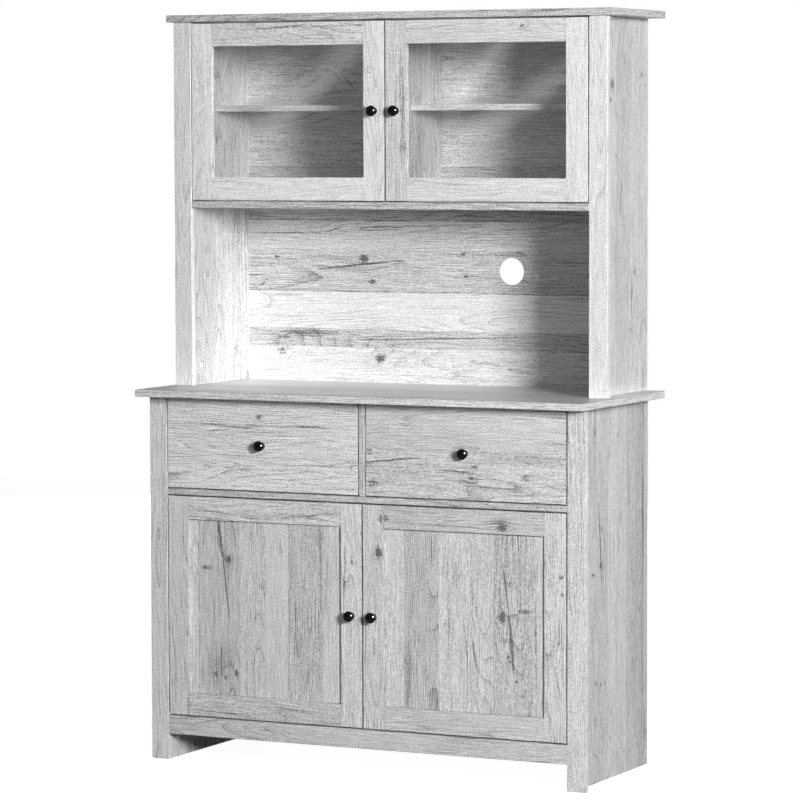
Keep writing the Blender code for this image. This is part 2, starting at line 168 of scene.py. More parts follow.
def mirrored_way(x, z):
    """The direction that the panes mirror to the camera from one place on them."""
    mirrored_camera = Vector((CAMERA_PLACE.x, 2 * PANE_FACE - CAMERA_PLACE.y, CAMERA_PLACE.z))
    return (Vector((x, PANE_FACE, z)) - mirrored_camera).normalized()


def mirrored_studio(tree):
    """What gloss mirrors: a dim room, darker in front on the left, where slanting light strips cross it."""
    way = shader_node(tree, "TexCoord").outputs["Generated"]
    towards_shade = vector_maths(tree, "DOT_PRODUCT", way, mirrored_way(*SHADE_MIDDLE))
    level = ease(tree, towards_shade, *SHADE_EDGE, MIRRORED_SURROUND, MIRRORED_SHADE)
    for start, end, half in STRIPS:
        first, second = mirrored_way(*start), mirrored_way(*end)
        middle = (first + second).normalized()
        flat = first.cross(second).normalized()
        along = flat.cross(middle).normalized()
        width = half / (2 * abs(CAMERA_PLACE.y))
        length = (second - first).length / 2
        ahead, off, run = (vector_maths(tree, "DOT_PRODUCT", way, line) for line in (middle, flat, along))
        across = ease(tree, maths(tree, "ABSOLUTE", off), width * STRIP_SIDE_FADE, 0.0, 0.0, MIRRORED_STRIP)
        ends = ease(tree, maths(tree, "ABSOLUTE", run), *(length * fade for fade in STRIP_END_FADE))
        strip = maths(tree, "MULTIPLY", maths(tree, "MULTIPLY", across, ends),
                      maths(tree, "GREATER_THAN", ahead, 0.0))
        level = maths(tree, "MAXIMUM", level, strip)
    return level


def white_surround():
    world = bpy.data.worlds.new("white_studio")
    world.use_nodes = True
    tree = world.node_tree
    tree.nodes.clear()
    lit = shader_node(tree, "MapRange", {"Value": seen_directly(tree, 0.0), "To Min": SURROUND})
    glossy = shader_node(tree, "LightPath").outputs["Is Glossy Ray"]
    level = shader_node(tree, "Mix", {0: glossy, 2: lit.outputs[0], 3: mirrored_studio(tree)}).outputs[0]
    light = shader_node(tree, "Background", {"Color": (1, 1, 1, 1), "Strength": level})
    shader_node(tree, "OutputWorld", {"Surface": light.outputs[0]})
    bpy.context.scene.world = world


def pale_floor():
    bm = bmesh.new()
    bmesh.ops.create_grid(bm, x_segments=1, y_segments=1, size=FLOOR_HALF)
    bmesh.ops.translate(bm, vec=(0, 0, -FLOOR_DROP), verts=bm.verts)
    floor = mesh_object("studio_floor", bm)
    material = bpy.data.materials.new("white_floor")
    material.use_nodes = True
    tree = material.node_tree
    tree.nodes.clear()
    matt = shader_node(tree, "BsdfDiffuse", {"Color": (FLOOR_GREY, FLOOR_GREY, FLOOR_GREY, 1)})
    lift = shader_node(tree, "MapRange", {"Value": seen_directly(tree, MIRRORED_SURROUND), "To Min": 0.0,
                                          "To Max": FLOOR_GLOW})
    glow = shader_node(tree, "Emission", {"Strength": lift.outputs[0]})
    both = shader_node(tree, "AddShader", {0: matt.outputs[0], 1: glow.outputs[0]})
    shader_node(tree, "OutputMaterial", {"Surface": both.outputs[0]})
    floor.data.materials.append(material)


put_camera()
for lamp_name, facts in LAMPS.items():
    put_lamp(lamp_name, *facts)
white_surround()
pale_floor()
bpy.context.scene.view_settings.view_transform = "Standard"

# The grey oak foil that covers every board.
# It is a printed picture of reclaimed oak: joined staves of unlike tone, long pores, flame figure, knots and
# cracks. The grain runs along the board on its faces and edges, and across it on the banded ends.
CHALK_TONE = 1.35
# The print's greys by tone, from the pores through deep and middle grain to pale and chalky wood.
PRINT_GREYS = ((0.0, 0.095), (0.26, 0.330), (0.56, 0.575), (1.0, 0.860), (CHALK_TONE, 0.980))
# How much each layer of the print adds to the tone.
PRINT_WEIGHTS = {"clouds": 0.20, "streaks": 0.24, "lines": 0.26, "mottle": 1.15, "flame": -0.34,
                 "pores": -0.40, "flecks": 0.26, "ripples": 0.15}
BARE_FIBRES = ((0.0, (0.20, 0.17, 0.14, 1)), (1.0, (0.46, 0.41, 0.35, 1)))
FACE_LIMIT = 0.75
BAND_SHIFT = 0.37
AXES = {"X": 0, "Y": 1, "Z": 2}
JOINT_LINE = 0.0018
JOINT_DEPTH = 0.13
RIPPLES_PER_METRE = 185


def node_group(name, inputs, outputs):
    """An empty group and its ends; inputs and outputs pair a socket's name with Float, Vector or Color."""
    tree = bpy.data.node_groups.new(name, "ShaderNodeTree")
    for word, kind in inputs.items():
        tree.interface.new_socket(name=word, in_out="INPUT", socket_type="NodeSocket" + kind)
    for word, kind in outputs.items():
        tree.interface.new_socket(name=word, in_out="OUTPUT", socket_type="NodeSocket" + kind)
    return tree, tree.nodes.new("NodeGroupInput").outputs, tree.nodes.new("NodeGroupOutput")


def mark_group(name, inputs):
    """An empty group for one kind of mark, which takes a place and the darkness so far and passes both on."""
    return node_group(name, {"Vector": "Vector", "Darkness": "Float", **inputs, "Strength": "Float"},
                      {"Vector": "Vector", "Darkness": "Float"})


def place_group(tree, group, sockets):
    """A group placed in a material, with its inputs."""
    return shader_node(tree, "Group", sockets, node_tree=group).outputs


def grey(level):
    return (level, level, level, 1)


def colour_ramp(tree, value, stops, interpolation="LINEAR"):
    """A ramp's colour; stops pair each place on it with a colour, from its start to its end."""
    made = shader_node(tree, "ValToRGB", {0: value})
    made.color_ramp.interpolation = interpolation
    first, last = made.color_ramp.elements
    first.position, first.color = stops[0]
    last.position, last.color = stops[-1]
    for place, colour in stops[1:-1]:
        made.color_ramp.elements.new(place).color = colour
    return made.outputs["Color"]


def noise(tree, vector, scale, detail=2.0, roughness=0.5):
    """Smooth noise, stretched by three scales."""
    stretched = vector_maths(tree, "MULTIPLY", vector, scale)
    return shader_node(tree, "TexNoise", {"Vector": stretched, "Scale": 1.0, "Detail": detail,
                                          "Roughness": roughness}).outputs["Fac"]


def scaled(tree, vector, factor):
    return shader_node(tree, "VectorMath", {0: vector, "Scale": factor}, operation="SCALE").outputs[0]


def split_xyz(tree, vector):
    return shader_node(tree, "SeparateXYZ", {0: vector}).outputs


def join_xyz(tree, x=0.0, y=0.0, z=0.0):
    return shader_node(tree, "CombineXYZ", {0: x, 1: y, 2: z}).outputs[0]


def lay_group(grain, across, through):
    """Turns a place on a board into (along the grain, across it, 0), by face, and finds its eased edges."""
    tree, given, result = node_group(
        f"lay_{grain}_{across}".lower(), {"Position": "Vector", "Facing": "Vector"},
        {"Vector": "Vector", "Edge": "Float", "Banding": "Float"})
    place = split_xyz(tree, given["Position"])
    facing = split_xyz(tree, vector_maths(tree, "ABSOLUTE", given["Facing"]))
    length, width, depth = (place[AXES[word]] for word in (grain, across, through))
    on_end = maths(tree, "GREATER_THAN", facing[AXES[grain]], FACE_LIMIT)
    on_edge = maths(tree, "GREATER_THAN", facing[AXES[across]], FACE_LIMIT)
    banded = maths(tree, "ADD", depth, BAND_SHIFT)
    along = shader_node(tree, "Mix", {0: on_end, 2: length, 3: width}).outputs[0]
    either = maths(tree, "MAXIMUM", on_end, on_edge)
    sideways = shader_node(tree, "Mix", {0: either, 2: width, 3: banded}).outputs[0]
    flattest = maths(tree, "MAXIMUM", maths(tree, "MAXIMUM", facing[0], facing[1]), facing[2])
    fill_sockets(tree, result, {"Vector": join_xyz(tree, along, sideways), "Banding": either,
                                "Edge": ease(tree, flattest, 0.96, 0.80)})
    return tree


def knot_group():
    """A knot: a dark torn heart with pale flecks round it, that the grain bends round."""
    tree, given, result = mark_group("knot", {"Centre": "Vector", "Size": "Float"})
    away = vector_maths(tree, "SUBTRACT", given["Vector"], given["Centre"])
    in_sizes = scaled(tree, away, maths(tree, "DIVIDE", 1.0, given["Size"]))
    shaped = vector_maths(tree, "MULTIPLY", in_sizes, (0.75, 1.0, 0.0))
    radius = vector_maths(tree, "LENGTH", shaped)
    square = maths(tree, "MULTIPLY", radius, radius)
    fading = maths(tree, "POWER", 2.718, maths(tree, "MULTIPLY", square, -0.30))
    apart = split_xyz(tree, away)
    pulled = maths(tree, "MULTIPLY", maths(tree, "MULTIPLY", apart[1], fading), -0.5)
    bent = vector_maths(tree, "ADD", given["Vector"], join_xyz(tree, 0.0, pulled))
    ragged = noise(tree, given["Vector"], (260.0, 330.0, 1.0), 3.0, 0.7)
    rough_radius = maths(tree, "ADD", radius, maths(tree, "MULTIPLY_ADD", ragged, 3.0, -1.5))
    heart = ease(tree, rough_radius, 0.95, 0.55)
    halo = maths(tree, "MULTIPLY", maths(tree, "MULTIPLY", fading, ragged), 0.3)
    dark = maths(tree, "MULTIPLY", maths(tree, "MAXIMUM", heart, halo), given["Strength"])
    flecks = maths(tree, "MULTIPLY", ease(tree, ragged, 0.52, 0.64, 0.0, 0.30), fading)
    darker = maths(tree, "MAXIMUM", given["Darkness"], dark)
    fill_sockets(tree, result, {"Vector": bent, "Darkness": maths(tree, "SUBTRACT", darker, flecks)})
    return tree


def crack_group():
    """A crack between two places: a thin black line in a wider bruise, both fading out at its ends."""
    tree, given, result = mark_group("crack", {"From": "Vector", "To": "Vector", "Width": "Float"})
    unrest = noise(tree, given["Vector"], (16.0, 10.0, 1.0), 3.0, 0.6)
    waver = maths(tree, "MULTIPLY_ADD", unrest, 0.007, -0.0035)
    place = vector_maths(tree, "ADD", given["Vector"], join_xyz(tree, 0.0, waver))
    run = vector_maths(tree, "SUBTRACT", given["To"], given["From"])
    away = vector_maths(tree, "SUBTRACT", place, given["From"])
    share = maths(tree, "DIVIDE", vector_maths(tree, "DOT_PRODUCT", away, run),
                  vector_maths(tree, "DOT_PRODUCT", run, run), clamp=True)
    gap = vector_maths(tree, "DISTANCE", away, scaled(tree, run, share))
    swell = maths(tree, "SINE", maths(tree, "MULTIPLY", share, math.pi))
    patchy = noise(tree, given["Vector"], (70.0, 200.0, 1.0), 3.0, 0.65)
    open_part = maths(tree, "MULTIPLY", maths(tree, "POWER", swell, 0.5),
                      ease(tree, patchy, 0.30, 0.50, 0.55, 1.0))
    line = maths(tree, "MULTIPLY", ease(tree, gap, 0.0028, 0.0010), open_part)
    bruised = maths(tree, "DIVIDE", gap, maths(tree, "MULTIPLY_ADD", given["Width"], swell, 0.0002))
    bruise = maths(tree, "MULTIPLY", ease(tree, bruised, 1.0, 0.1),
                   ease(tree, patchy, 0.32, 0.60, 0.15, 0.85))
    dark = maths(tree, "MULTIPLY", maths(tree, "MAXIMUM", line, bruise), given["Strength"])
    fill_sockets(tree, result, {"Vector": given["Vector"],
                                "Darkness": maths(tree, "MAXIMUM", given["Darkness"], dark)})
    return tree


def smudge_group():
    """A soft dark patch, or a pale one where its strength is below zero."""
    tree, given, result = mark_group("smudge", {"Centre": "Vector", "Half": "Vector"})
    away = vector_maths(tree, "DIVIDE", vector_maths(tree, "SUBTRACT", given["Vector"], given["Centre"]),
                        given["Half"])
    patchy = noise(tree, given["Vector"], (60.0, 300.0, 1.0), 2.0, 0.6)
    ragged = maths(tree, "MULTIPLY_ADD", patchy, 1.2, -0.6)
    radius = maths(tree, "ADD", vector_maths(tree, "LENGTH", away), ragged)
    dark = maths(tree, "MULTIPLY", ease(tree, radius, 1.25, 0.25), given["Strength"])
    fill_sockets(tree, result, {"Vector": given["Vector"],
                                "Darkness": maths(tree, "ADD", given["Darkness"], dark)})
    return tree


def grey_oak_group():
    """The print itself, from a place on the board, its stave's tone and the marks' darkness."""
    tree, given, result = node_group(
        "grey_oak", {"Vector": "Vector", "Darkness": "Float", "Stave": "Float", "Seed": "Float",
                     "Edge": "Float", "Grain": "Float"},
        {"Color": "Color", "Roughness": "Float", "Height": "Float"})
    jump = maths(tree, "MULTIPLY", given["Stave"], 41.7)
    shift = join_xyz(tree, maths(tree, "MULTIPLY", given["Seed"], 3.17),
                     maths(tree, "MULTIPLY_ADD", given["Seed"], 1.73, jump),
                     maths(tree, "ADD", given["Seed"], jump))
    place = vector_maths(tree, "ADD", given["Vector"], shift)
    wander = maths(tree, "MULTIPLY_ADD", noise(tree, place, (2.0, 6.0, 1.0), 2.0), 0.022, -0.011)
    bent = vector_maths(tree, "ADD", place, join_xyz(tree, 0.0, wander))
    # Flame figure: height lines of a slow stretched noise, dark on one side of each line.
    figure = noise(tree, bent, (1.2, 9.5, 1.0), 1.0, 0.4)
    rings = maths(tree, "FRACT", maths(tree, "MULTIPLY", figure, 26.0))
    flame_part = ease(tree, noise(tree, place, (2.6, 11.0, 1.0), 1.0), 0.42, 0.60)
    flame = maths(tree, "MULTIPLY", maths(tree, "POWER", rings, 6.0), flame_part)
    # Broad soft streaks, fine lines over them, rare long dark pores, pale flecks and a fine mottle.
    streaks = noise(tree, bent, (2.4, 60.0, 1.0), 4.0, 0.55)
    lines = ease(tree, noise(tree, bent, (13.0, 380.0, 1.0), 2.0, 0.7), 0.34, 0.66)
    hairs = noise(tree, bent, (3.4, 210.0, 1.0), 2.0, 0.6)
    pore_part = ease(tree, noise(tree, place, (5.0, 18.0, 1.0), 2.0), 0.36, 0.62, 0.3, 1.0)
    pores = maths(tree, "MULTIPLY", ease(tree, hairs, 0.65, 0.71), pore_part)
    # Fine ripples: evenly spaced grain lines, pushed about by a slow noise and fading in and out.
    sway = maths(tree, "MULTIPLY", noise(tree, bent, (5.0, 34.0, 1.0), 3.0, 0.6), 34.0)
    phase = maths(tree, "MULTIPLY_ADD", split_xyz(tree, bent)[1], 2 * math.pi * RIPPLES_PER_METRE, sway)
    patches = ease(tree, noise(tree, place, (9.0, 45.0, 1.0), 2.0), 0.35, 0.62)
    ripples = maths(tree, "MULTIPLY", maths(tree, "SINE", phase), patches)
    flecks = ease(tree, noise(tree, bent, (38.0, 360.0, 1.0), 1.0), 0.40, 0.26)
    layers = {"clouds": noise(tree, place, (2.4, 9.0, 1.0), 2.0), "streaks": streaks, "lines": lines,
              "mottle": noise(tree, place, (240.0, 400.0, 1.0), 1.0)}
    layers = {word: maths(tree, "SUBTRACT", layer, 0.5) for word, layer in layers.items()}
    layers |= {"flame": flame, "pores": pores, "flecks": flecks, "ripples": ripples}
    print_part = 0.0
    for word, layer in layers.items():
        print_part = maths(tree, "MULTIPLY_ADD", layer, PRINT_WEIGHTS[word], print_part)
    tone = maths(tree, "MULTIPLY_ADD", maths(tree, "SUBTRACT", given["Stave"], 0.5), 1.2, 0.58)
    tone = maths(tree, "MULTIPLY_ADD", print_part, given["Grain"], tone)
    # The eased edges print darker: partly the foil's cut edges, partly painted shade in the joints between
    # parts.
    for layer, weight in ((given["Darkness"], -1.10), (given["Edge"], -0.30)):
        tone = maths(tree, "MULTIPLY_ADD", layer, weight, tone)
    stops = [(level / CHALK_TONE, grey(colour)) for level, colour in PRINT_GREYS]
    fill_sockets(tree, result, {
        "Color": colour_ramp(tree, maths(tree, "DIVIDE", tone, CHALK_TONE), stops),
        "Roughness": maths(tree, "MULTIPLY_ADD", tone, -0.12, 0.60),
        "Height": maths(tree, "ADD", tone, maths(tree, "MULTIPLY", pores, -0.5))})
    return tree


KNOT = knot_group()
CRACK = crack_group()
SMUDGE = smudge_group()
GREY_OAK = grey_oak_group()
# How the grain lies: along which axis, across which, and through which.
LEVEL_FRONT, LEVEL_BOARD, UPRIGHT_FRONT, UPRIGHT_SIDE = "X Z Y", "X Y Z", "Z X Y", "Z Y X"
LAYS = {lay: lay_group(*lay.split()) for lay in (LEVEL_FRONT, LEVEL_BOARD, UPRIGHT_FRONT, UPRIGHT_SIDE)}


def knot(along, across, size, strength):
    """A knot's place along and across the grain, its radius and its darkness."""
    return KNOT, {"Centre": (along, across, 0), "Size": size, "Strength": strength}


def crack(along, across, to_along, to_across, width, strength):
    return CRACK, {"From": (along, across, 0), "To": (to_along, to_across, 0), "Width": width,
                   "Strength": strength}


def smudge(along, across, half_along, half_across, strength):
    return SMUDGE, {"Centre": (along, across, 0), "Half": (half_along, half_across, 1), "Strength": strength}


def guessed_staves(seed, low, high):
    """Staves 50 to 110 mm wide, of unlike tone, for boards that the view doesn't show."""
    draw = random.Random(seed)
    staves = [(low, draw.uniform(0.42, 0.6))]
    while staves[-1][0] + 0.11 < high:
        staves.append((staves[-1][0] + draw.uniform(0.05, 0.11), draw.uniform(0.40, 0.62)))
    return staves


def stave_tone(tree, vector, staves):
    """The tone of the stave under a place; staves pair each one's lower side with its tone."""
    low, high = staves[0][0], staves[-1][0] + 0.1
    unrest = noise(tree, vector, (14.0, 0.0, 0.0), 3.0, 0.6)
    waver = maths(tree, "MULTIPLY_ADD", unrest, 0.005, -0.0025)
    share = shader_node(tree, "MapRange", {"Value": maths(tree, "ADD", split_xyz(tree, vector)[1], waver),
                                           "From Min": low, "From Max": high})
    stops = [(0.0, grey(staves[0][1]))]
    for start, tone in staves[1:]:
        # A dark joint comes before each further stave.
        stops.append(((start - JOINT_LINE - low) / (high - low), grey(tone - JOINT_DEPTH)))
        stops.append(((start - low) / (high - low), grey(tone)))
    tones = colour_ramp(tree, share.outputs[0], stops, "CONSTANT")
    return shader_node(tree, "SeparateColor", {0: tones}).outputs[0]


def bare_rear(tree, where, printed):
    """The print on the front of a backboard, and brown fibreboard on its rear."""
    bare = colour_ramp(tree, noise(tree, where["Object"], (420.0, 420.0, 420.0), 3.0, 0.7), BARE_FIBRES)
    behind = maths(tree, "GREATER_THAN", split_xyz(tree, where["Normal"])[1], FACE_LIMIT)
    return shader_node(tree, "MixRGB", {0: behind, 1: printed, 2: bare}).outputs[0]


def new_material(name):
    """A material, its node tree and its shader."""
    material = bpy.data.materials.new(name)
    material.use_nodes = True
    return material, material.node_tree, material.node_tree.nodes["Principled BSDF"]


def emboss(tree, shader, height, strength, distance):
    bump = shader_node(tree, "Bump", {"Height": height, "Strength": strength, "Distance": distance})
    tree.links.new(bump.outputs[0], shader.inputs["Normal"])


def grey_oak(name, lay, seed, marks=(), staves=(), tone=0.5, gloss=0.0, side_shade=0.0, grain=1.0,
             backboard=False):
    """One board's own cut of the print: how its grain lies, its marks, its staves or its one tone, how much
    glossier it is, how much painted shade its banded sides take for the gaps, and how strong its grain is."""
    material, tree, shader = new_material(name)
    where = shader_node(tree, "TexCoord").outputs
    laid = place_group(tree, LAYS[lay], {"Position": where["Object"], "Facing": where["Normal"]})
    vector, darkness = laid["Vector"], 0.0
    for group, facts in marks:
        marked = place_group(tree, group, {"Vector": vector, "Darkness": darkness, **facts})
        vector, darkness = marked["Vector"], marked["Darkness"]
    # Banded sides and eased edges take painted shade, for the shade in the gaps between parts.
    if side_shade:
        shaded_sides = maths(tree, "MAXIMUM", laid["Banding"], laid["Edge"])
        darkness = maths(tree, "MULTIPLY_ADD", shaded_sides, side_shade, darkness)
    stave = stave_tone(tree, laid["Vector"], staves) if staves else tone
    wood = place_group(tree, GREY_OAK, {"Vector": vector, "Darkness": darkness, "Stave": stave,
                                        "Seed": seed, "Edge": laid["Edge"], "Grain": grain})
    fill_sockets(tree, shader, {
        "Base Color": bare_rear(tree, where, wood["Color"]) if backboard else wood["Color"],
        "Roughness": maths(tree, "SUBTRACT", wood["Roughness"], gloss), "Specular IOR Level": 0.35})
    emboss(tree, shader, wood["Height"], 0.35, 0.0004)
    return material


def dress(node, lay, seed, **cut):
    """Covers a CAD board with its own cut of the print."""
    nodes[node].material_slots[0].material = grey_oak(node + "_oak", lay, seed, **cut)


# The base case.
# Two side panels stand on the floor behind two wider stiles, with a toe rail, a floor, a deck under the
# drawers and two uprights between them: 15 to 16 mm chipboard in grey oak foil, drawn up with cams.
dress("base_stile_left", UPRIGHT_FRONT, 1.1, tone=0.6)
dress("base_stile_right", UPRIGHT_FRONT, 2.3, tone=0.56)
dress("toe_rail", LEVEL_FRONT, 3.9, tone=0.48)
dress("base_floor", LEVEL_BOARD, 4.2, staves=guessed_staves(4, -0.18, 0.23))
dress("drawer_deck", LEVEL_BOARD, 5.8, staves=guessed_staves(5, -0.15, 0.23))
dress("drawer_divider", UPRIGHT_SIDE, 6.1, tone=0.46)
dress("worktop", LEVEL_BOARD, 7.7, gloss=0.2,
      staves=[(-0.25, 0.58), (-0.17, 0.62), (-0.085, 0.56), (0.02, 0.62), (0.11, 0.58), (0.19, 0.62)])
dress("base_side_left", UPRIGHT_SIDE, 8.4, staves=guessed_staves(8, -0.18, 0.25))
dress("base_side_right", UPRIGHT_SIDE, 9.6, grain=0.75,
      marks=[crack(0.660, -0.054, 0.440, -0.032, 0.006, 0.55), knot(0.508, -0.039, 0.009, 0.75),
             smudge(0.490, -0.084, 0.006, 0.013, 0.35), smudge(0.505, -0.012, 0.006, 0.012, -0.3),
             knot(0.235, -0.067, 0.005, 0.69), knot(0.228, -0.039, 0.004, 0.62),
             smudge(0.230, -0.014, 0.008, 0.008, 0.25), knot(0.822, -0.078, 0.005, 0.5),
             crack(0.72, 0.2105, 0.50, 0.2125, 0.004, 0.4), crack(0.15, 0.223, 0.02, 0.2245, 0.004, 0.4)],
      staves=[(-0.2, 0.40), (0.0, 0.48), (0.0555, 0.46), (0.115, 0.38), (0.206, 0.30), (0.218, 0.42)])
dress("cupboard_divider", UPRIGHT_SIDE, 10.3, staves=guessed_staves(10, -0.18, 0.23))

# The hutch case.
# It stands on the worktop: two sides behind two stiles, a deck over the open bay, an upright and a crown. Its
# back, with a round cable hole, and the base's are thin boards, printed in front and bare fibreboard behind.
dress("hutch_stile_left", UPRIGHT_FRONT, 11.4, tone=0.66)
dress("hutch_stile_right", UPRIGHT_FRONT, 12.8, tone=0.65)
dress("hutch_side_left", UPRIGHT_SIDE, 13.5,
      staves=[(-0.1, 0.42), (0.031, 0.46), (0.093, 0.51), (0.135, 0.43)])
dress("hutch_side_right", UPRIGHT_SIDE, 14.9, grain=0.8,
      marks=[knot(1.625, 0.0255, 0.012, 0.5), knot(1.590, 0.0175, 0.005, 0.69),
             knot(1.185, 0.1625, 0.005, 0.62), knot(1.650, 0.2025, 0.005, 0.5),
             crack(1.200, 0.1455, 1.040, 0.1425, 0.005, 0.4), crack(1.78, 0.0155, 1.71, 0.030, 0.004, 0.3)],
      staves=[(-0.1, 0.5), (0.0555, 0.44), (0.1305, 0.52)])
dress("hutch_deck", LEVEL_BOARD, 15.2, staves=guessed_staves(15, -0.05, 0.23) + [(0.45, 0.42)])
# The upright is printed darker than the other boards: painted shade for the dim cupboards behind the glass.
dress("hutch_divider", UPRIGHT_SIDE, 16.6, staves=[(-0.1, 0.34), (0.118, 0.42), (0.170, 0.36)])
dress("crown_board", LEVEL_BOARD, 17.1, staves=guessed_staves(17, -0.09, 0.25) + [(0.45, 0.4)])
# The staves from 1.30 m up, behind the glass, are printed darker: partly the print's unlike staves, partly
# painted shade for the dim cupboards behind the glass.
HUTCH_BACK_STAVES = [(0.88, 0.61), (0.985, 0.42), (1.030, 0.66), (1.124, 0.42), (1.228, 0.54), (1.300, 0.38),
                     (1.430, 0.44), (1.512, 0.40), (1.600, 0.46), (1.680, 0.40)]
HUTCH_BACK_MARKS = [
    crack(-0.335, 1.178, -0.095, 1.203, 0.005, 0.65), knot(-0.205, 1.205, 0.012, 0.88),
    knot(-0.182, 1.150, 0.008, 0.5), knot(-0.162, 0.960, 0.012, 0.95), knot(0.073, 1.165, 0.005, 0.62),
    knot(0.066, 1.220, 0.005, 0.44), knot(-0.435, 0.972, 0.011, 0.5), knot(-0.450, 1.208, 0.005, 0.44),
    crack(-0.26, 1.003, 0.24, 1.020, 0.003, 0.38), smudge(-0.365, 1.019, 0.080, 0.011, 0.35),
    smudge(-0.425, 1.008, 0.016, 0.007, 0.4), crack(-0.52, 1.266, -0.30, 1.270, 0.002, 0.4),
    crack(-0.315, 1.268, -0.262, 1.284, 0.003, 0.45), crack(-0.25, 1.280, 0.12, 1.292, 0.002, 0.3),
    knot(-0.260, 1.667, 0.005, 0.62), crack(-0.262, 1.655, -0.232, 1.626, 0.003, 0.5),
    smudge(0.345, 1.622, 0.060, 0.009, 0.4)]
dress("hutch_back", LEVEL_FRONT, 18.3, marks=HUTCH_BACK_MARKS, staves=HUTCH_BACK_STAVES, backboard=True)
dress("base_back", LEVEL_FRONT, 19.5, staves=guessed_staves(19, 0.05, 0.9), backboard=True)

# The loose shelves.
# Four boards of 15 mm chipboard in the same foil, each on four nickelled pins.
for number, shelf in enumerate(("base_shelf_left", "base_shelf_right", "hutch_shelf_left",
                                "hutch_shelf_right")):
    low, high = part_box(shelf)
    dress(shelf, LEVEL_BOARD, 20.5 + number, staves=guessed_staves(20 + number, low.y, high.y))

# The lower doors' panels.
# Two boards with upright print, loose in the grooves of their frames. The print darkens to a joint line where
# a panel runs into each member of its frame, and painted shadow deepens it at the right and the top.
LINE_REACH = 0.6
LINE_HALF = 0.0022


def joint_and_shadow_lines(left, right, low, high, darkness):
    """Joint lines at a panel's left, right, lower and upper side, each with its darkness;
    painted shadow deepens the right and upper ones.
    """
    middle, level = (left + right) / 2, (low + high) / 2
    return [smudge(level, left, LINE_REACH, LINE_HALF, darkness[0]),
            smudge(level, right, LINE_REACH, LINE_HALF, darkness[1]),
            smudge(low, middle, LINE_HALF, LINE_REACH, darkness[2]),
            smudge(high, middle, LINE_HALF, LINE_REACH, darkness[3])]


PANEL_LEFT_MARKS = [
    crack(0.600, -0.393, 0.480, -0.375, 0.009, 0.7), crack(0.505, -0.379, 0.345, -0.360, 0.0025, 0.55),
    knot(0.494, -0.363, 0.009, 0.81), smudge(0.472, -0.425, 0.006, 0.019, 0.4),
    smudge(0.487, -0.343, 0.006, 0.012, -0.35), knot(0.215, -0.400, 0.005, 0.75),
    knot(0.208, -0.372, 0.004, 0.81), knot(0.220, -0.342, 0.007, 0.56),
    crack(0.285, -0.384, 0.205, -0.384, 0.002, 0.45), smudge(0.235, -0.385, 0.08, 0.048, 0.14),
    smudge(0.53, -0.114, 0.08, 0.007, 0.2), knot(0.520, -0.222, 0.012, 0.15)]
PANEL_RIGHT_MARKS = [
    crack(0.515, 0.363, 0.385, 0.379, 0.0025, 0.5), crack(0.410, 0.376, 0.245, 0.393, 0.009, 0.65),
    knot(0.393, 0.360, 0.011, 0.69), smudge(0.410, 0.420, 0.006, 0.019, 0.4),
    smudge(0.397, 0.342, 0.006, 0.010, -0.3), knot(0.302, 0.377, 0.004, 0.75),
    knot(0.245, 0.397, 0.004, 0.75), crack(0.375, 0.262, 0.295, 0.271, 0.002, 0.4),
    crack(0.335, 0.284, 0.255, 0.298, 0.002, 0.45), smudge(0.24, 0.117, 0.10, 0.010, 0.26),
    knot(0.365, 0.219, 0.018, 0.15)]
# The darker right and upper lines of each panel are painted shadow.
dress("base_door_left_panel", UPRIGHT_FRONT, 30.2,
      marks=PANEL_LEFT_MARKS + joint_and_shadow_lines(-0.471, -0.057, 0.166, 0.5875, (0.35, 0.65, 0.15, 0.70)),
      staves=[(-0.5, 0.61), (-0.445, 0.45), (-0.333, 0.54), (-0.265, 0.57), (-0.199, 0.42), (-0.108, 0.55)])
dress("base_door_right_panel", UPRIGHT_FRONT, 31.6,
      marks=PANEL_RIGHT_MARKS + joint_and_shadow_lines(0.057, 0.471, 0.166, 0.5875, (0.35, 0.90, 0.18, 0.70)),
      staves=[(0.04, 0.55), (0.108, 0.42), (0.197, 0.55), (0.280, 0.53), (0.340, 0.43), (0.450, 0.58)])

# The drawer fronts.
# Two boards of 16 mm chipboard in the same foil, with banded edges and level grain. Like the doors, each is
# drawn a millimetre inside the solid's outline, for gaps as wide as the real ones.
ARRIS = 0.0005
SMOOTH_LIMIT = math.radians(32)
OUTER_PLAY = Vector((0.0010, 0, 0.0010))
# Painted shade on the banded sides and eased edges of the fronts and frames, for the shade in the gaps
# between them.
BANDED_SIDE_SHADE = 0.34
# For each drawer: its print's seed, how strong its grain is, its staves and its marks.
DRAWERS = {
    "drawer_left": (32.8, 1.5, [(0.6, 0.68), (0.716, 0.63)], [
        crack(-0.41, 0.805, -0.21, 0.824, 0.005, 0.35), crack(-0.27, 0.817, -0.09, 0.821, 0.005, 0.45),
        crack(-0.28, 0.728, 0.02, 0.729, 0.002, 0.3), crack(-0.47, 0.736, -0.37, 0.721, 0.002, 0.22),
        crack(-0.35, 0.717, -0.24, 0.698, 0.002, 0.22), crack(-0.33, 0.805, -0.19, 0.803, 0.002, 0.3),
        knot(-0.275, 0.840, 0.007, 0.62), smudge(-0.292, 0.838, 0.010, 0.004, -0.25),
        knot(-0.36, 0.700, 0.014, 0.12)]),
    "drawer_right": (33.1, 1.0, [(0.6, 0.49), (0.778, 0.50)], [
        crack(-0.01, 0.741, 0.155, 0.757, 0.004, 0.6), crack(0.20, 0.732, 0.295, 0.728, 0.003, 0.45),
        knot(0.285, 0.715, 0.005, 0.88), knot(0.294, 0.741, 0.004, 0.62), knot(0.425, 0.722, 0.009, 0.38),
        knot(0.03, 0.693, 0.012, 0.38), knot(0.02, 0.770, 0.007, 0.38),
        smudge(0.43, 0.762, 0.15, 0.017, 0.2)])}


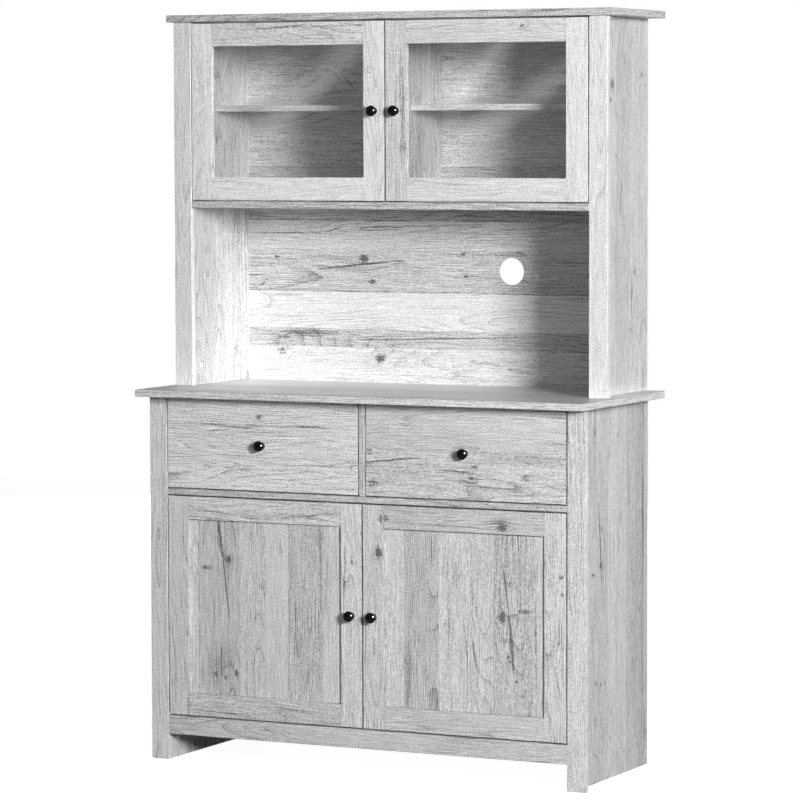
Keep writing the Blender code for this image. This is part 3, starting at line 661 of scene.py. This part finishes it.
def ease_edges(bm, edges, width, segments):
    bmesh.ops.bevel(bm, geom=edges, offset=width, offset_type="OFFSET", segments=segments, profile=0.5,
                    affect="EDGES", material=-1)


def edges_round(verts):
    """The edges at some vertices, each once and in the same order on every run."""
    return list(dict.fromkeys(edge for vert in verts for edge in vert.link_edges))


def add_board(bm, low, high, arris=ARRIS, segments=2):
    """A board with eased edges between two corners, added to what the bmesh holds."""
    place = Matrix.Translation((low + high) / 2) @ Matrix.Diagonal((*(high - low), 1))
    verts = bmesh.ops.create_cube(bm, size=1.0, matrix=place)["verts"]
    if arris:
        ease_edges(bm, edges_round(verts), arris, segments)


def finish_piece(name, bm, material, body, stands_for=(), smooth=False, cutters=()):
    """Makes the bmesh a piece, less its cutters, that rides on a body and stands for CAD nodes."""
    bmesh.ops.recalc_face_normals(bm, faces=bm.faces)
    piece = mesh_object(name, bm)
    piece.data.materials.append(material)
    if cutters:
        cut_out(piece, cutters)
    if smooth:
        piece.data.polygons.foreach_set("use_smooth", [True] * len(piece.data.polygons))
        piece.data.set_sharp_from_angle(angle=SMOOTH_LIMIT)
    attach(piece, body)
    if stands_for:
        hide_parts(*stands_for)


for drawer, (seed, grain, staves, marks) in DRAWERS.items():
    low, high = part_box(drawer + "_front")
    bm = bmesh.new()
    add_board(bm, low + OUTER_PLAY, high - OUTER_PLAY)
    oak = grey_oak(drawer + "_front_oak", LEVEL_FRONT, seed, marks=marks, staves=staves,
                   side_shade=BANDED_SIDE_SHADE, grain=grain)
    finish_piece(drawer + "_front_board", bm, oak, drawer, [drawer + "_front"])

# The door frames.
# Each frame is two full-height stiles with two rails between them, 56 by 16 mm, grooved for the panel or
# rebated for the glass, and drilled 11 mm deep in the back of the hinged stile for the hinge cups.
MEMBER_WIDTH = 0.056
JOINT_GAP = 0.0003
SLOT_ROOM = 0.0003
CUP_DIAMETER = 0.035
CUP_DEPTH = 0.011
CUP_ROOM = 0.0003
CUP_SIDES = 48
DOORS = {"base_door_left": -1, "base_door_right": 1, "hutch_door_left": -1, "hutch_door_right": 1}
QUARTER_TURNS = {"X": Matrix.Rotation(math.pi / 2, 4, "Y"), "Y": Matrix.Rotation(math.pi / 2, 4, "X"),
                 "Z": Matrix.Identity(4)}
PLAIN_TONE = 0.55
# For each member that shows marks or a tone of its own: the tone and the marks.
FRAME_PRINT = {
    "base_door_left_rail_top": (0.57, [
        knot(-0.30, 0.607, 0.016, 0.15), crack(-0.235, 0.598, -0.055, 0.620, 0.004, 0.4),
        crack(-0.20, 0.608, -0.09, 0.600, 0.003, 0.3), crack(-0.47, 0.614, -0.34, 0.604, 0.003, 0.3)]),
    "base_door_left_rail_bottom": (0.46, [
        crack(-0.46, 0.128, -0.30, 0.118, 0.003, 0.3), crack(-0.28, 0.146, -0.08, 0.140, 0.002, 0.25)]),
    "base_door_left_stile_meeting": (0.6, [
        crack(0.555, -0.045, 0.385, -0.049, 0.004, 0.5), knot(0.503, -0.027, 0.005, 0.69),
        crack(0.530, -0.027, 0.495, -0.028, 0.002, 0.4)]),
    "base_door_right_rail_top": (0.43, [
        knot(0.363, 0.603, 0.011, 0.94), smudge(0.355, 0.612, 0.04, 0.008, 0.2),
        crack(0.05, 0.604, 0.35, 0.600, 0.002, 0.3), knot(0.062, 0.612, 0.008, 0.44)]),
    "base_door_right_rail_bottom": (0.52, []),
    "base_door_right_stile_meeting": (PLAIN_TONE, [
        knot(0.531, 0.043, 0.012, 0.81), knot(0.610, 0.050, 0.009, 0.38)]),
    "base_door_right_stile_hinged": (PLAIN_TONE, [
        knot(0.494, 0.513, 0.005, 0.62), knot(0.455, 0.516, 0.004, 0.5), knot(0.344, 0.509, 0.004, 0.38),
        crack(0.29, 0.495, 0.20, 0.515, 0.002, 0.3)]),
    "hutch_door_left_stile_hinged": (0.74, []),
    "hutch_door_left_stile_meeting": (0.74, [knot(1.665, -0.042, 0.009, 0.38)]),
    "hutch_door_left_rail_top": (0.58, [
        crack(-0.35, 1.763, -0.21, 1.773, 0.005, 0.45), crack(-0.20, 1.769, -0.05, 1.768, 0.003, 0.35)]),
    "hutch_door_left_rail_bottom": (0.76, []),
    "hutch_door_right_stile_hinged": (0.67, []),
    "hutch_door_right_stile_meeting": (0.55, [
        smudge(1.64, 0.044, 0.09, 0.006, 0.25), smudge(1.55, 0.049, 0.12, 0.007, 0.25),
        knot(1.480, 0.049, 0.012, 0.38), crack(1.72, 0.040, 1.42, 0.047, 0.004, 0.35)]),
    "hutch_door_right_rail_top": (0.56, [knot(0.357, 1.762, 0.005, 0.56)]),
    "hutch_door_right_rail_bottom": (0.62, [])}


def cut_out(piece, cutters):
    """Cuts each cutter, a bmesh, out of a piece, and leaves no modifier on it."""
    spent = []
    for bm in cutters:
        bmesh.ops.recalc_face_normals(bm, faces=bm.faces)
        spent.append(mesh_object("cutter", bm))
        boolean = piece.modifiers.new("cut", "BOOLEAN")
        boolean.operation, boolean.solver, boolean.object = "DIFFERENCE", "EXACT", spent[-1]
    bpy.context.view_layer.update()
    shaped = piece.evaluated_get(bpy.context.evaluated_depsgraph_get())
    plain, piece.data = piece.data, bpy.data.meshes.new_from_object(shaped)
    piece.modifiers.clear()
    piece.data.name = piece.name
    bpy.data.meshes.remove(plain)
    for cutter in spent:
        bpy.data.objects.remove(cutter)


def box_cutter(low, high):
    bm = bmesh.new()
    add_board(bm, Vector(low), Vector(high), arris=0)
    return bm


def add_cylinder(bm, centre, diameter, depth, axis, sides):
    """A round bar centred on a point, along one axis; gives its vertices."""
    radius = diameter / 2
    place = Matrix.Translation(centre) @ QUARTER_TURNS[axis]
    return bmesh.ops.create_cone(bm, cap_ends=True, segments=sides, radius1=radius, radius2=radius,
                                 depth=depth, matrix=place)["verts"]


def drill(centre, diameter, depth, axis, sides):
    """A round cutter."""
    bm = bmesh.new()
    add_cylinder(bm, centre, diameter, depth, axis, sides)
    return bm


def door_slot(door, inner_high):
    """The groove for a panel, or the rebate for a pane, round a door's opening."""
    infill = door + ("_panel" if door.startswith("base") else "_glass")
    low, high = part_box(infill)
    if infill.endswith("_glass"):
        high = Vector((high.x, inner_high.y + JOINT_GAP + MEMBER_WIDTH, high.z))
    room = Vector((SLOT_ROOM, SLOT_ROOM, SLOT_ROOM))
    return box_cutter(low - room, high + room)


def frame_members(door, hand):
    """The corners of a door frame's four members, and the high corner of its opening."""
    low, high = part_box(door + "_frame")
    inner_low = low + Vector((MEMBER_WIDTH, 0, MEMBER_WIDTH))
    inner_high = high - Vector((MEMBER_WIDTH, 0, MEMBER_WIDTH))
    left, right = ("hinged", "meeting") if hand < 0 else ("meeting", "hinged")
    low, high = low + OUTER_PLAY, high - OUTER_PLAY
    rail_left, rail_right = inner_low.x + JOINT_GAP, inner_high.x - JOINT_GAP
    return {
        "stile_" + left: (low, Vector((inner_low.x, high.y, high.z))),
        "stile_" + right: (Vector((inner_high.x, low.y, low.z)), high),
        "rail_top": (Vector((rail_left, low.y, inner_high.z)), Vector((rail_right, high.y, high.z))),
        "rail_bottom": (Vector((rail_left, low.y, low.z)), Vector((rail_right, high.y, inner_low.z)))
    }, inner_high


def cup_bores(door, back):
    """Cutters for the two hinge cups in a hinged stile, whose back is at Y back."""
    bores = []
    for level in ("lower", "upper"):
        low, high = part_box(f"{door}_cup_{level}")
        middle = (low + high) / 2
        bores.append(drill(Vector((middle.x, back, middle.z)), CUP_DIAMETER + 2 * CUP_ROOM,
                           2 * (CUP_DEPTH + CUP_ROOM), "Y", CUP_SIDES))
    return bores


for door_number, (door, hand) in enumerate(DOORS.items()):
    members, inner_high = frame_members(door, hand)
    for number, (word, (low, high)) in enumerate(members.items()):
        name = f"{door}_{word}"
        bm = bmesh.new()
        add_board(bm, low, high)
        tone, marks = FRAME_PRINT.get(name, (PLAIN_TONE, []))
        oak = grey_oak(name + "_oak", UPRIGHT_FRONT if word.startswith("stile") else LEVEL_FRONT,
                       40 + 5.3 * door_number + 1.37 * number, marks=marks, tone=tone, side_shade=BANDED_SIDE_SHADE)
        cutters = [door_slot(door, inner_high)]
        if word == "stile_hinged":
            cutters += cup_bores(door, high.y)
        finish_piece(name, bm, oak, door, [door + "_frame"], cutters=cutters)

# The drawer boxes.
# Each is two 12 mm sides with a front and a back between them and a 4 mm bottom, in plain pale foil, screwed
# together at the corners and to the drawer front; the sides run on the deck, over a steel rail in the middle.
BOX_WALL = 0.012
BOX_BOTTOM = 0.004
RAIL_ROOM = 0.0103
WALL_GAP = 0.0001
FOIL_GREYS = ((0.35, grey(0.42)), (0.95, grey(0.80)))


def drawer_foil():
    """Pale foil printed with a fine linen weave."""
    material, tree, shader = new_material("drawer_foil")
    place = shader_node(tree, "TexCoord").outputs["Object"]
    level, upright = noise(tree, place, (900.0, 60.0, 60.0)), noise(tree, place, (60.0, 60.0, 900.0))
    weave = maths(tree, "ADD", level, upright)
    clouds = noise(tree, place, (6.0, 6.0, 6.0))
    tone = maths(tree, "MULTIPLY_ADD", clouds, 0.3, maths(tree, "MULTIPLY", weave, 0.5))
    fill_sockets(tree, shader, {"Base Color": colour_ramp(tree, tone, FOIL_GREYS), "Roughness": 0.55})
    emboss(tree, shader, weave, 0.2, 0.0002)
    return material


foil = drawer_foil()
for drawer in DRAWERS:
    low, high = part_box(drawer + "_box")
    base = low.z + RAIL_ROOM
    wall_left, wall_right = low.x + BOX_WALL + WALL_GAP, high.x - BOX_WALL - WALL_GAP
    boards = {
        "side_left": (low, (low.x + BOX_WALL, high.y, high.z)),
        "side_right": ((high.x - BOX_WALL, low.y, low.z), high),
        "inner_front": ((wall_left, low.y, base + BOX_BOTTOM), (wall_right, low.y + BOX_WALL, high.z)),
        "inner_back": ((wall_left, high.y - BOX_WALL, base + BOX_BOTTOM), (wall_right, high.y, high.z)),
        "bottom": ((wall_left, low.y, base), (wall_right, high.y, base + BOX_BOTTOM - WALL_GAP))}
    for part, (corner, far_corner) in boards.items():
        bm = bmesh.new()
        add_board(bm, Vector(corner), Vector(far_corner))
        finish_piece(f"{drawer}_{part}", bm, foil, drawer, [drawer + "_box"])

# The glass.
# A 4 mm clear float pane lies loose in each rebate, held from behind by four pinned beads in the same foil.
BEAD_GAP = 0.0002
BEAD_SETBACK = 0.0010
BEAD_ROUND = 0.0015
BEAD_SEGMENTS = 3
GLASS_FINISH = {"Base Color": (0.925, 0.929, 0.927, 1), "Roughness": 0.0, "IOR": 1.45,
                "Transmission Weight": 1.0}
GLASS_FILTER = (0.897, 0.902, 0.900, 1)
glass, tree, shader = new_material("clear_glass")
fill_sockets(tree, shader, GLASS_FINISH)
through = shader_node(tree, "BsdfTransparent", {"Color": GLASS_FILTER})
path = shader_node(tree, "LightPath").outputs
unseen = maths(tree, "MAXIMUM", path["Is Shadow Ray"], path["Is Diffuse Ray"])
pane = shader_node(tree, "MixShader", {0: unseen, 1: shader.outputs[0], 2: through.outputs[0]})
tree.links.new(pane.outputs[0], tree.nodes["Material Output"].inputs["Surface"])
for door in ("hutch_door_left", "hutch_door_right"):
    nodes[door + "_glass"].material_slots[0].material = glass
    glass_low, glass_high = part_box(door + "_glass")
    frame_low, frame_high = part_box(door + "_frame")
    near, far = glass_high.y + BEAD_GAP, frame_high.y - BEAD_SETBACK
    opening_low, opening_high = frame_low.x + MEMBER_WIDTH, frame_high.x - MEMBER_WIDTH
    sill, head = frame_low.z + MEMBER_WIDTH, frame_high.z - MEMBER_WIDTH
    strips = {
        "left": ((glass_low.x, near, sill + BEAD_GAP), (opening_low, far, head - BEAD_GAP)),
        "right": ((opening_high, near, sill + BEAD_GAP), (glass_high.x, far, head - BEAD_GAP)),
        "bottom": ((glass_low.x, near, glass_low.z), (glass_high.x, far, sill)),
        "top": ((glass_low.x, near, head), (glass_high.x, far, glass_high.z))}
    for word, (corner, far_corner) in strips.items():
        bm = bmesh.new()
        add_board(bm, Vector(corner), Vector(far_corner), arris=BEAD_ROUND, segments=BEAD_SEGMENTS)
        lay = UPRIGHT_FRONT if word in ("left", "right") else LEVEL_FRONT
        oak = grey_oak(f"{door}_bead_{word}_oak", lay, 71.3 + glass_low.x * 9, tone=PLAIN_TONE)
        finish_piece(f"{door}_bead_{word}", bm, oak, door)

# The knobs.
# Six turned mushroom knobs in gloss black lacquer, 26 mm across, each held by a screw from behind.
KNOB_HEAD = 0.013
KNOB_RIM = 0.0028
KNOB_RIM_DRAW = 0.0010
KNOB_DOME = 0.0085
KNOB_NECK = 0.0060
KNOB_FOOT = 0.0090
KNOB_FOOT_LENGTH = 0.0035
# The foot's rounded front edge: how far each point lies inside the foot and behind its front.
FOOT_ROUND = ((0.0012, 0.0003), (0.0003, 0.0010), (0, 0.0020))
HOLLOW_CURVE = 1.15
TURN_STEPS = 48
CURVE_STEPS = 12
RIM_STEPS = 4
MERGE_REACH = 0.00001
LACQUER_GREYS = ((0.0, grey(0.001)), (1.0, grey(0.004)))


def knob_lacquer():
    """Gloss black lacquer with a faint orange-peel surface."""
    material, tree, shader = new_material("black_lacquer")
    place = shader_node(tree, "TexCoord").outputs["Object"]
    dust = noise(tree, place, (420.0, 420.0, 420.0), 3.0)
    fill_sockets(tree, shader, {"Base Color": colour_ramp(tree, dust, LACQUER_GREYS),
                                "Roughness": ease(tree, dust, 0.3, 0.7, 0.04, 0.09),
                                "Specular IOR Level": 0.20})
    emboss(tree, shader, noise(tree, place, (260.0, 260.0, 260.0), 1.0), 0.12, 0.0004)
    return material


def turn(bm, profile, origin):
    """Turns (radius, distance towards the back) points about a line along Y and closes the poles."""
    ends = [bm.verts.new(origin + Vector((radius, along, 0))) for radius, along in profile]
    edges = [bm.edges.new(pair) for pair in zip(ends, ends[1:])]
    bmesh.ops.spin(bm, geom=ends + edges, cent=origin, axis=(0, 1, 0), angle=2 * math.pi, steps=TURN_STEPS,
                   use_merge=True)
    bmesh.ops.remove_doubles(bm, verts=bm.verts, dist=MERGE_REACH)


def knob_profile(reach, gap):
    """From the middle of the dome round the rim, in along the hollow back to the neck and out to the foot."""
    quarter = math.pi / 2
    rim_front = -reach + KNOB_DOME
    rim_back = rim_front + KNOB_RIM
    foot_front = -gap - KNOB_FOOT_LENGTH
    points = [(0, -reach)]
    for step in range(1, CURVE_STEPS + 1):
        angle = quarter * step / CURVE_STEPS
        points.append((KNOB_HEAD * math.sin(angle), rim_front - KNOB_DOME * math.cos(angle)))
    for step in range(1, RIM_STEPS + 1):
        angle = quarter * step / RIM_STEPS
        points.append((KNOB_HEAD - KNOB_RIM_DRAW * (1 - math.cos(angle)),
                       rim_front + KNOB_RIM * math.sin(angle)))
    waist = KNOB_HEAD - KNOB_RIM_DRAW - KNOB_NECK
    for step in range(1, CURVE_STEPS + 1):
        share = step / CURVE_STEPS
        points.append((KNOB_NECK + waist * (1 - math.sin(quarter * share)) ** HOLLOW_CURVE,
                       rim_back + (foot_front - rim_back) * share))
    points += [(KNOB_FOOT - inside, foot_front + behind) for inside, behind in FOOT_ROUND]
    return points + [(KNOB_FOOT, -gap), (0, -gap)]


lacquer = knob_lacquer()
# Each knob's own door or drawer.
KNOBS = {name: name[:-len("_knob")] for name in nodes if name.endswith("_knob")}
for name, body in KNOBS.items():
    low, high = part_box(name)
    middle = (low + high) / 2
    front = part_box(body + ("_front" if body in DRAWERS else "_frame"))[0].y
    bm = bmesh.new()
    turn(bm, knob_profile(front - low.y, front - high.y), Vector((middle.x, front, middle.z)))
    finish_piece(name + "_turned", bm, lacquer, body, [name], smooth=True)

# The concealed hinges.
# A pressed steel cup sits in the door with an ear above and below, each held by a screw. A cranked arm clips
# to a plate that two screws hold on the side panel, and two more screws in the arm adjust the door.
CUP_WALL = 0.0010
CUP_LIP = 0.0012
CUP_RING = 0.0025
# The cup's outer and inner bends: how far each point lies inside the rim and above the bottom.
OUTER_BEND = ((0.0020, 0), (0.0006, 0.0006), (0, 0.0020))
INNER_BEND = ((0, 0.0030), (0.0008, 0.0014), (0.0024, CUP_WALL))
EAR_REACH = 0.024
EAR_HALF = 0.0055
EAR_ARRIS = 0.0003
EAR_SCREW = 0.007
PLATE_THICKNESS = 0.0016
PLATE_HALF = 0.025
PLATE_NEAR = 0.006
PLATE_FAR = 0.034
PLATE_SCREW = 0.0078
PLATE_SCREW_SPREAD = 0.016
ARM_RISE = 0.0173
ARM_SCREW = 0.0065
ARM_SCREW_SETS = (0.010, 0.028)
DISC_ARRIS = 0.0004
DISC_SIDES = 32
SCREW_SIDES = 24
# A screw's measures as shares of its diameter or of its head's rise.
SCREW_RISE = 0.28
SCREW_ROUND = 0.45
SLOT_LONG = 0.28
SLOT_THIN = 0.06
SLOT_DEEP = 0.6


def nickel(name, colour, roughness):
    """Nickelled steel with fine draw marks."""
    material, tree, shader = new_material(name)
    place = shader_node(tree, "TexCoord").outputs["Object"]
    draw_marks = noise(tree, place, (120.0, 900.0, 120.0), 3.0, 0.6)
    stops = ((0.0, (*(part * 0.75 for part in colour), 1)), (1.0, (*(part * 1.15 for part in colour), 1)))
    fill_sockets(tree, shader, {
        "Base Color": colour_ramp(tree, draw_marks, stops), "Metallic": 1.0,
        "Roughness": ease(tree, draw_marks, 0.3, 0.7, roughness - 0.08, roughness + 0.1)})
    emboss(tree, shader, draw_marks, 0.15, 0.0002)
    return material


def add_disc(bm, centre, diameter, thickness, axis="Y", arris=DISC_ARRIS, sides=DISC_SIDES):
    """A round plate with eased rims, centred on a point."""
    verts = add_cylinder(bm, centre, diameter, thickness, axis, sides)
    rims = [edge for edge in edges_round(verts) if any(len(face.verts) > 4 for face in edge.link_faces)]
    ease_edges(bm, rims, arris, 2)


def add_screws(bm, seats, diameter, facing, axis="Y"):
    """Pan heads with crossed recesses, seated at some places and looking along an axis."""
    ways = {word: Vector([float(word == other) for other in AXES]) for word in AXES}
    way = ways[axis] * facing
    first, second = (ways[word] for word in AXES if word != axis)
    rise = diameter * SCREW_RISE
    heads = bmesh.new()
    recesses = []
    for seat in seats:
        add_disc(heads, seat + way * rise / 2, diameter, rise, axis, rise * SCREW_ROUND, SCREW_SIDES)
        for long, thin in ((first, second), (second, first)):
            half = long * diameter * SLOT_LONG + thin * diameter * SLOT_THIN + way * rise * SLOT_DEEP
            half = Vector(map(abs, half))
            recesses.append(box_cutter(seat + way * rise - half, seat + way * rise + half))
    cut = mesh_object("screw_heads", heads)
    cut_out(cut, recesses)
    mesh = cut.data
    bm.from_mesh(mesh)
    bpy.data.objects.remove(cut)
    bpy.data.meshes.remove(mesh)


def press_cup(cup, door):
    """One hinge's cup with its ears and their screws."""
    low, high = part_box(cup)
    middle = (low + high) / 2
    rim = CUP_DIAMETER / 2
    inner = rim - CUP_WALL
    back = high.y - CUP_LIP
    origin = Vector((middle.x, back, middle.z))
    depth = low.y - back
    profile = [(0, depth), *((rim - inside, depth + above) for inside, above in OUTER_BEND), (rim, 0),
               (rim + CUP_RING, 0), (rim + CUP_RING, CUP_LIP * 0.7), (rim + CUP_RING * 0.8, CUP_LIP),
               (rim, CUP_LIP), (inner, CUP_LIP * 0.4),
               *((inner - inside, depth + above) for inside, above in INNER_BEND), (0, depth + CUP_WALL)]
    bm = bmesh.new()
    turn(bm, profile, origin)
    for up in (-1, 1):
        ear = origin + Vector((0, CUP_LIP / 2, up * EAR_REACH))
        add_disc(bm, ear, 2 * EAR_HALF, CUP_LIP)
        near = origin + Vector((0, CUP_LIP / 2, up * (rim + CUP_RING * 0.6)))
        half = Vector((EAR_HALF, CUP_LIP / 2, abs(ear.z - near.z) / 2))
        add_board(bm, (ear + near) / 2 - half, (ear + near) / 2 + half, arris=EAR_ARRIS)
    add_screws(bm, [origin + Vector((0, CUP_LIP, up * EAR_REACH)) for up in (-1, 1)], EAR_SCREW, 1)
    finish_piece(cup + "_pressed", bm, hinge_nickel, door, [cup], smooth=True)


def fix_arm(arm, hand):
    """One hinge arm's finish, and its mounting plate with the screws of both."""
    nodes[arm].material_slots[0].material = hinge_nickel
    low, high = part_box(arm)
    wall, inward = (low.x if hand < 0 else high.x), -hand
    height = (low.z + high.z) / 2
    plate_face = wall + inward * PLATE_THICKNESS
    bm = bmesh.new()
    add_board(bm, Vector((min(wall, plate_face), high.y - PLATE_FAR, height - PLATE_HALF)),
              Vector((max(wall, plate_face), high.y - PLATE_NEAR, height + PLATE_HALF)))
    middle = high.y - (PLATE_FAR + PLATE_NEAR) / 2
    add_screws(bm, [Vector((plate_face, middle, height + up * PLATE_SCREW_SPREAD)) for up in (-1, 1)],
               PLATE_SCREW, inward, "X")
    heel = wall + inward * ARM_RISE
    add_screws(bm, [Vector((heel, high.y - setback, height)) for setback in ARM_SCREW_SETS], ARM_SCREW,
               inward, "X")
    finish_piece(arm + "_plate", bm, hinge_nickel, "case", smooth=True)


hinge_nickel = nickel("hinge_nickel", (0.60, 0.60, 0.59), 0.30)
for door, hand in DOORS.items():
    for level in ("lower", "upper"):
        press_cup(f"{door}_cup_{level}", door)
        fix_arm(f"{door}_arm_{level}", hand)

# The drawer rails.
# A zinc-plated steel rail on the deck under each drawer, held by three pairs of screws.
RAIL_SCREW = 0.0055
RAIL_SCREW_SIDE = 0.0105
RAIL_FLANGE = 0.002
RAIL_SCREW_PLACES = (0.06, 0.5, 0.94)
rail_nickel = nickel("rail_zinc", (0.70, 0.70, 0.69), 0.40)
for drawer in DRAWERS:
    rail = drawer + "_rail"
    nodes[rail].material_slots[0].material = rail_nickel
    low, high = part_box(rail)
    middle = (low.x + high.x) / 2
    bm = bmesh.new()
    add_screws(bm, [Vector((middle + side * RAIL_SCREW_SIDE, low.y + (high.y - low.y) * share,
                            low.z + RAIL_FLANGE)) for share in RAIL_SCREW_PLACES for side in (-1, 1)],
               RAIL_SCREW, 1, "Z")
    finish_piece(rail + "_screws", bm, rail_nickel, "case", smooth=True)

# The screws of the knobs and the drawers.
# A pan-head screw behind each knob, two screws at each drawer corner, and two from the box into its front.
KNOB_SCREW = 0.009
BOX_SCREW = 0.0075
FRONT_SCREW_PLACES = (0.18, 0.82)
CORNER_SCREW_PLACES = (0.3, 0.75)
for name, body in KNOBS.items():
    low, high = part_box(name)
    middle = (low + high) / 2
    bm = bmesh.new()
    if body in DRAWERS:
        low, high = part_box(body + "_box")
        size = high - low
        rear = low.y + BOX_WALL
        add_screws(bm, [Vector((middle.x, rear, middle.z))], KNOB_SCREW, 1)
        add_screws(bm, [Vector((low.x + size.x * share, rear, middle.z)) for share in FRONT_SCREW_PLACES],
                   BOX_SCREW, 1)
        for wall, facing in ((low.x, -1), (high.x, 1)):
            add_screws(bm, [Vector((wall, end, low.z + size.z * share))
                            for end in (low.y + BOX_WALL / 2, high.y - BOX_WALL / 2)
                            for share in CORNER_SCREW_PLACES], BOX_SCREW, facing, "X")
    else:
        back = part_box(body + "_frame")[1].y
        add_screws(bm, [Vector((middle.x, back, middle.z))], KNOB_SCREW, 1)
    finish_piece(body + "_screws", bm, rail_nickel, body, smooth=True)

# The drilled boards, the shelf pins and the cams.
# The sides and the uprights have two rows of 5 mm holes, with four nickelled pins for each shelf, and the
# sides take 15 mm zinc cams that draw up the case.
PIN_DIAMETER = 0.005
PIN_ROOM = 0.0001
PIN_SIDES = 20
PIN_ARRIS = 0.0005
PIN_REACH = 0.007
PIN_INSET = 0.041
PIN_END_ROOM = 0.001
COLLAR_SIZE = 1.5
COLLAR_LENGTH = 0.0010
COLLAR_ARRIS = 0.0002
COLLAR_OUT = 0.0007
COLLAR_DROP = 0.0002
HOLE_DEPTH = 0.010
HOLE_PITCH = 0.0355
CAM_DIAMETER = 0.015
CAM_DEPTH = 0.0125
CAM_END_ROOM = 0.001
CAM_ROOM = 0.00015
CAM_SIDES = 40
CAM_ARRIS = 0.0003
CAM_SLOT = 0.0016
CAM_SLOT_REACH = 0.32
CAM_SLOT_DEPTH = 0.002
# The Y and Z of the two cams in each side of the hutch and the base.
CAMS = {"hutch": ((-0.0235, 0.948), (0.170, 0.948)), "base": ((-0.150, 0.0435), (0.150, 0.0435))}


def pin_rows(part):
    """The two rows' Y and the pins' Z for the shelf on one side of the hutch or the base."""
    low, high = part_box(part + "_shelf_left")
    return (low.y + PIN_INSET, high.y - PIN_INSET), low.z - PIN_DIAMETER / 2 - PIN_ROOM


def shelf_holes(part, faces):
    """Cutters for both rows of holes in each face: three holes, the middle one at the pins' height."""
    rows, level = pin_rows(part)
    return [drill(Vector((face, row, level + step * HOLE_PITCH)), PIN_DIAMETER + 2 * PIN_ROOM, 2 * HOLE_DEPTH,
                  "X", PIN_SIDES) for face in faces for row in rows for step in (-1, 0, 1)]


def drilled_board(node, cutters):
    """The CAD board with its holes, in its own foil."""
    bm = bmesh.new()
    bm.from_mesh(nodes[node].data)
    bmesh.ops.remove_doubles(bm, verts=bm.verts, dist=MERGE_REACH)
    foil_print = nodes[node].material_slots[0].material
    finish_piece(node + "_drilled", bm, foil_print, "case", [node], cutters=cutters)


def add_cam(bm, face, hand, spot):
    """A zinc cam let in flush, and the cutters of its crossed slot."""
    depth = CAM_DEPTH - CAM_END_ROOM
    add_disc(bm, Vector((face + hand * depth / 2, *spot)), CAM_DIAMETER, depth, "X", CAM_ARRIS, CAM_SIDES)
    seat = Vector((face, *spot))
    long, thin = CAM_DIAMETER * CAM_SLOT_REACH, CAM_SLOT / 2
    halves = (Vector((CAM_SLOT_DEPTH, long, thin)), Vector((CAM_SLOT_DEPTH, thin, long)))
    return [box_cutter(seat - half, seat + half) for half in halves]


def add_pin(bm, face, inward, row, level):
    """A pin in its hole, with the collar that it stops at."""
    inner, outer = face - inward * (HOLE_DEPTH - PIN_END_ROOM), face + inward * PIN_REACH
    add_disc(bm, Vector(((inner + outer) / 2, row, level)), PIN_DIAMETER, abs(outer - inner), "X", PIN_ARRIS,
             PIN_SIDES)
    add_disc(bm, Vector((face + inward * COLLAR_OUT, row, level - COLLAR_DROP)), PIN_DIAMETER * COLLAR_SIZE,
             COLLAR_LENGTH, "X", COLLAR_ARRIS, PIN_SIDES)


for part, upright in (("base", "cupboard_divider"), ("hutch", "hutch_divider")):
    rows, level = pin_rows(part)
    faces = [corner.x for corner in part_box(upright)]
    drilled_board(upright, shelf_holes(part, faces))
    for word, hand, upright_face in (("left", -1, faces[0]), ("right", 1, faces[1])):
        side = f"{part}_side_{word}"
        low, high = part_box(side)
        wall = high.x if hand < 0 else low.x
        seats = [drill(Vector((wall, *spot)), CAM_DIAMETER + 2 * CAM_ROOM, 2 * CAM_DEPTH, "X", CAM_SIDES)
                 for spot in CAMS[part]]
        drilled_board(side, shelf_holes(part, [wall]) + seats)
        bm = bmesh.new()
        slots = []
        for spot in CAMS[part]:
            slots += add_cam(bm, wall, hand, spot)
        finish_piece(side + "_cams", bm, rail_nickel, "case", smooth=True, cutters=slots)
        bm = bmesh.new()
        for face, inward in ((wall, -hand), (upright_face, hand)):
            for row in rows:
                add_pin(bm, face, inward, row, level)
        finish_piece(f"{part}_shelf_{word}_pins", bm, hinge_nickel, "case", smooth=True)
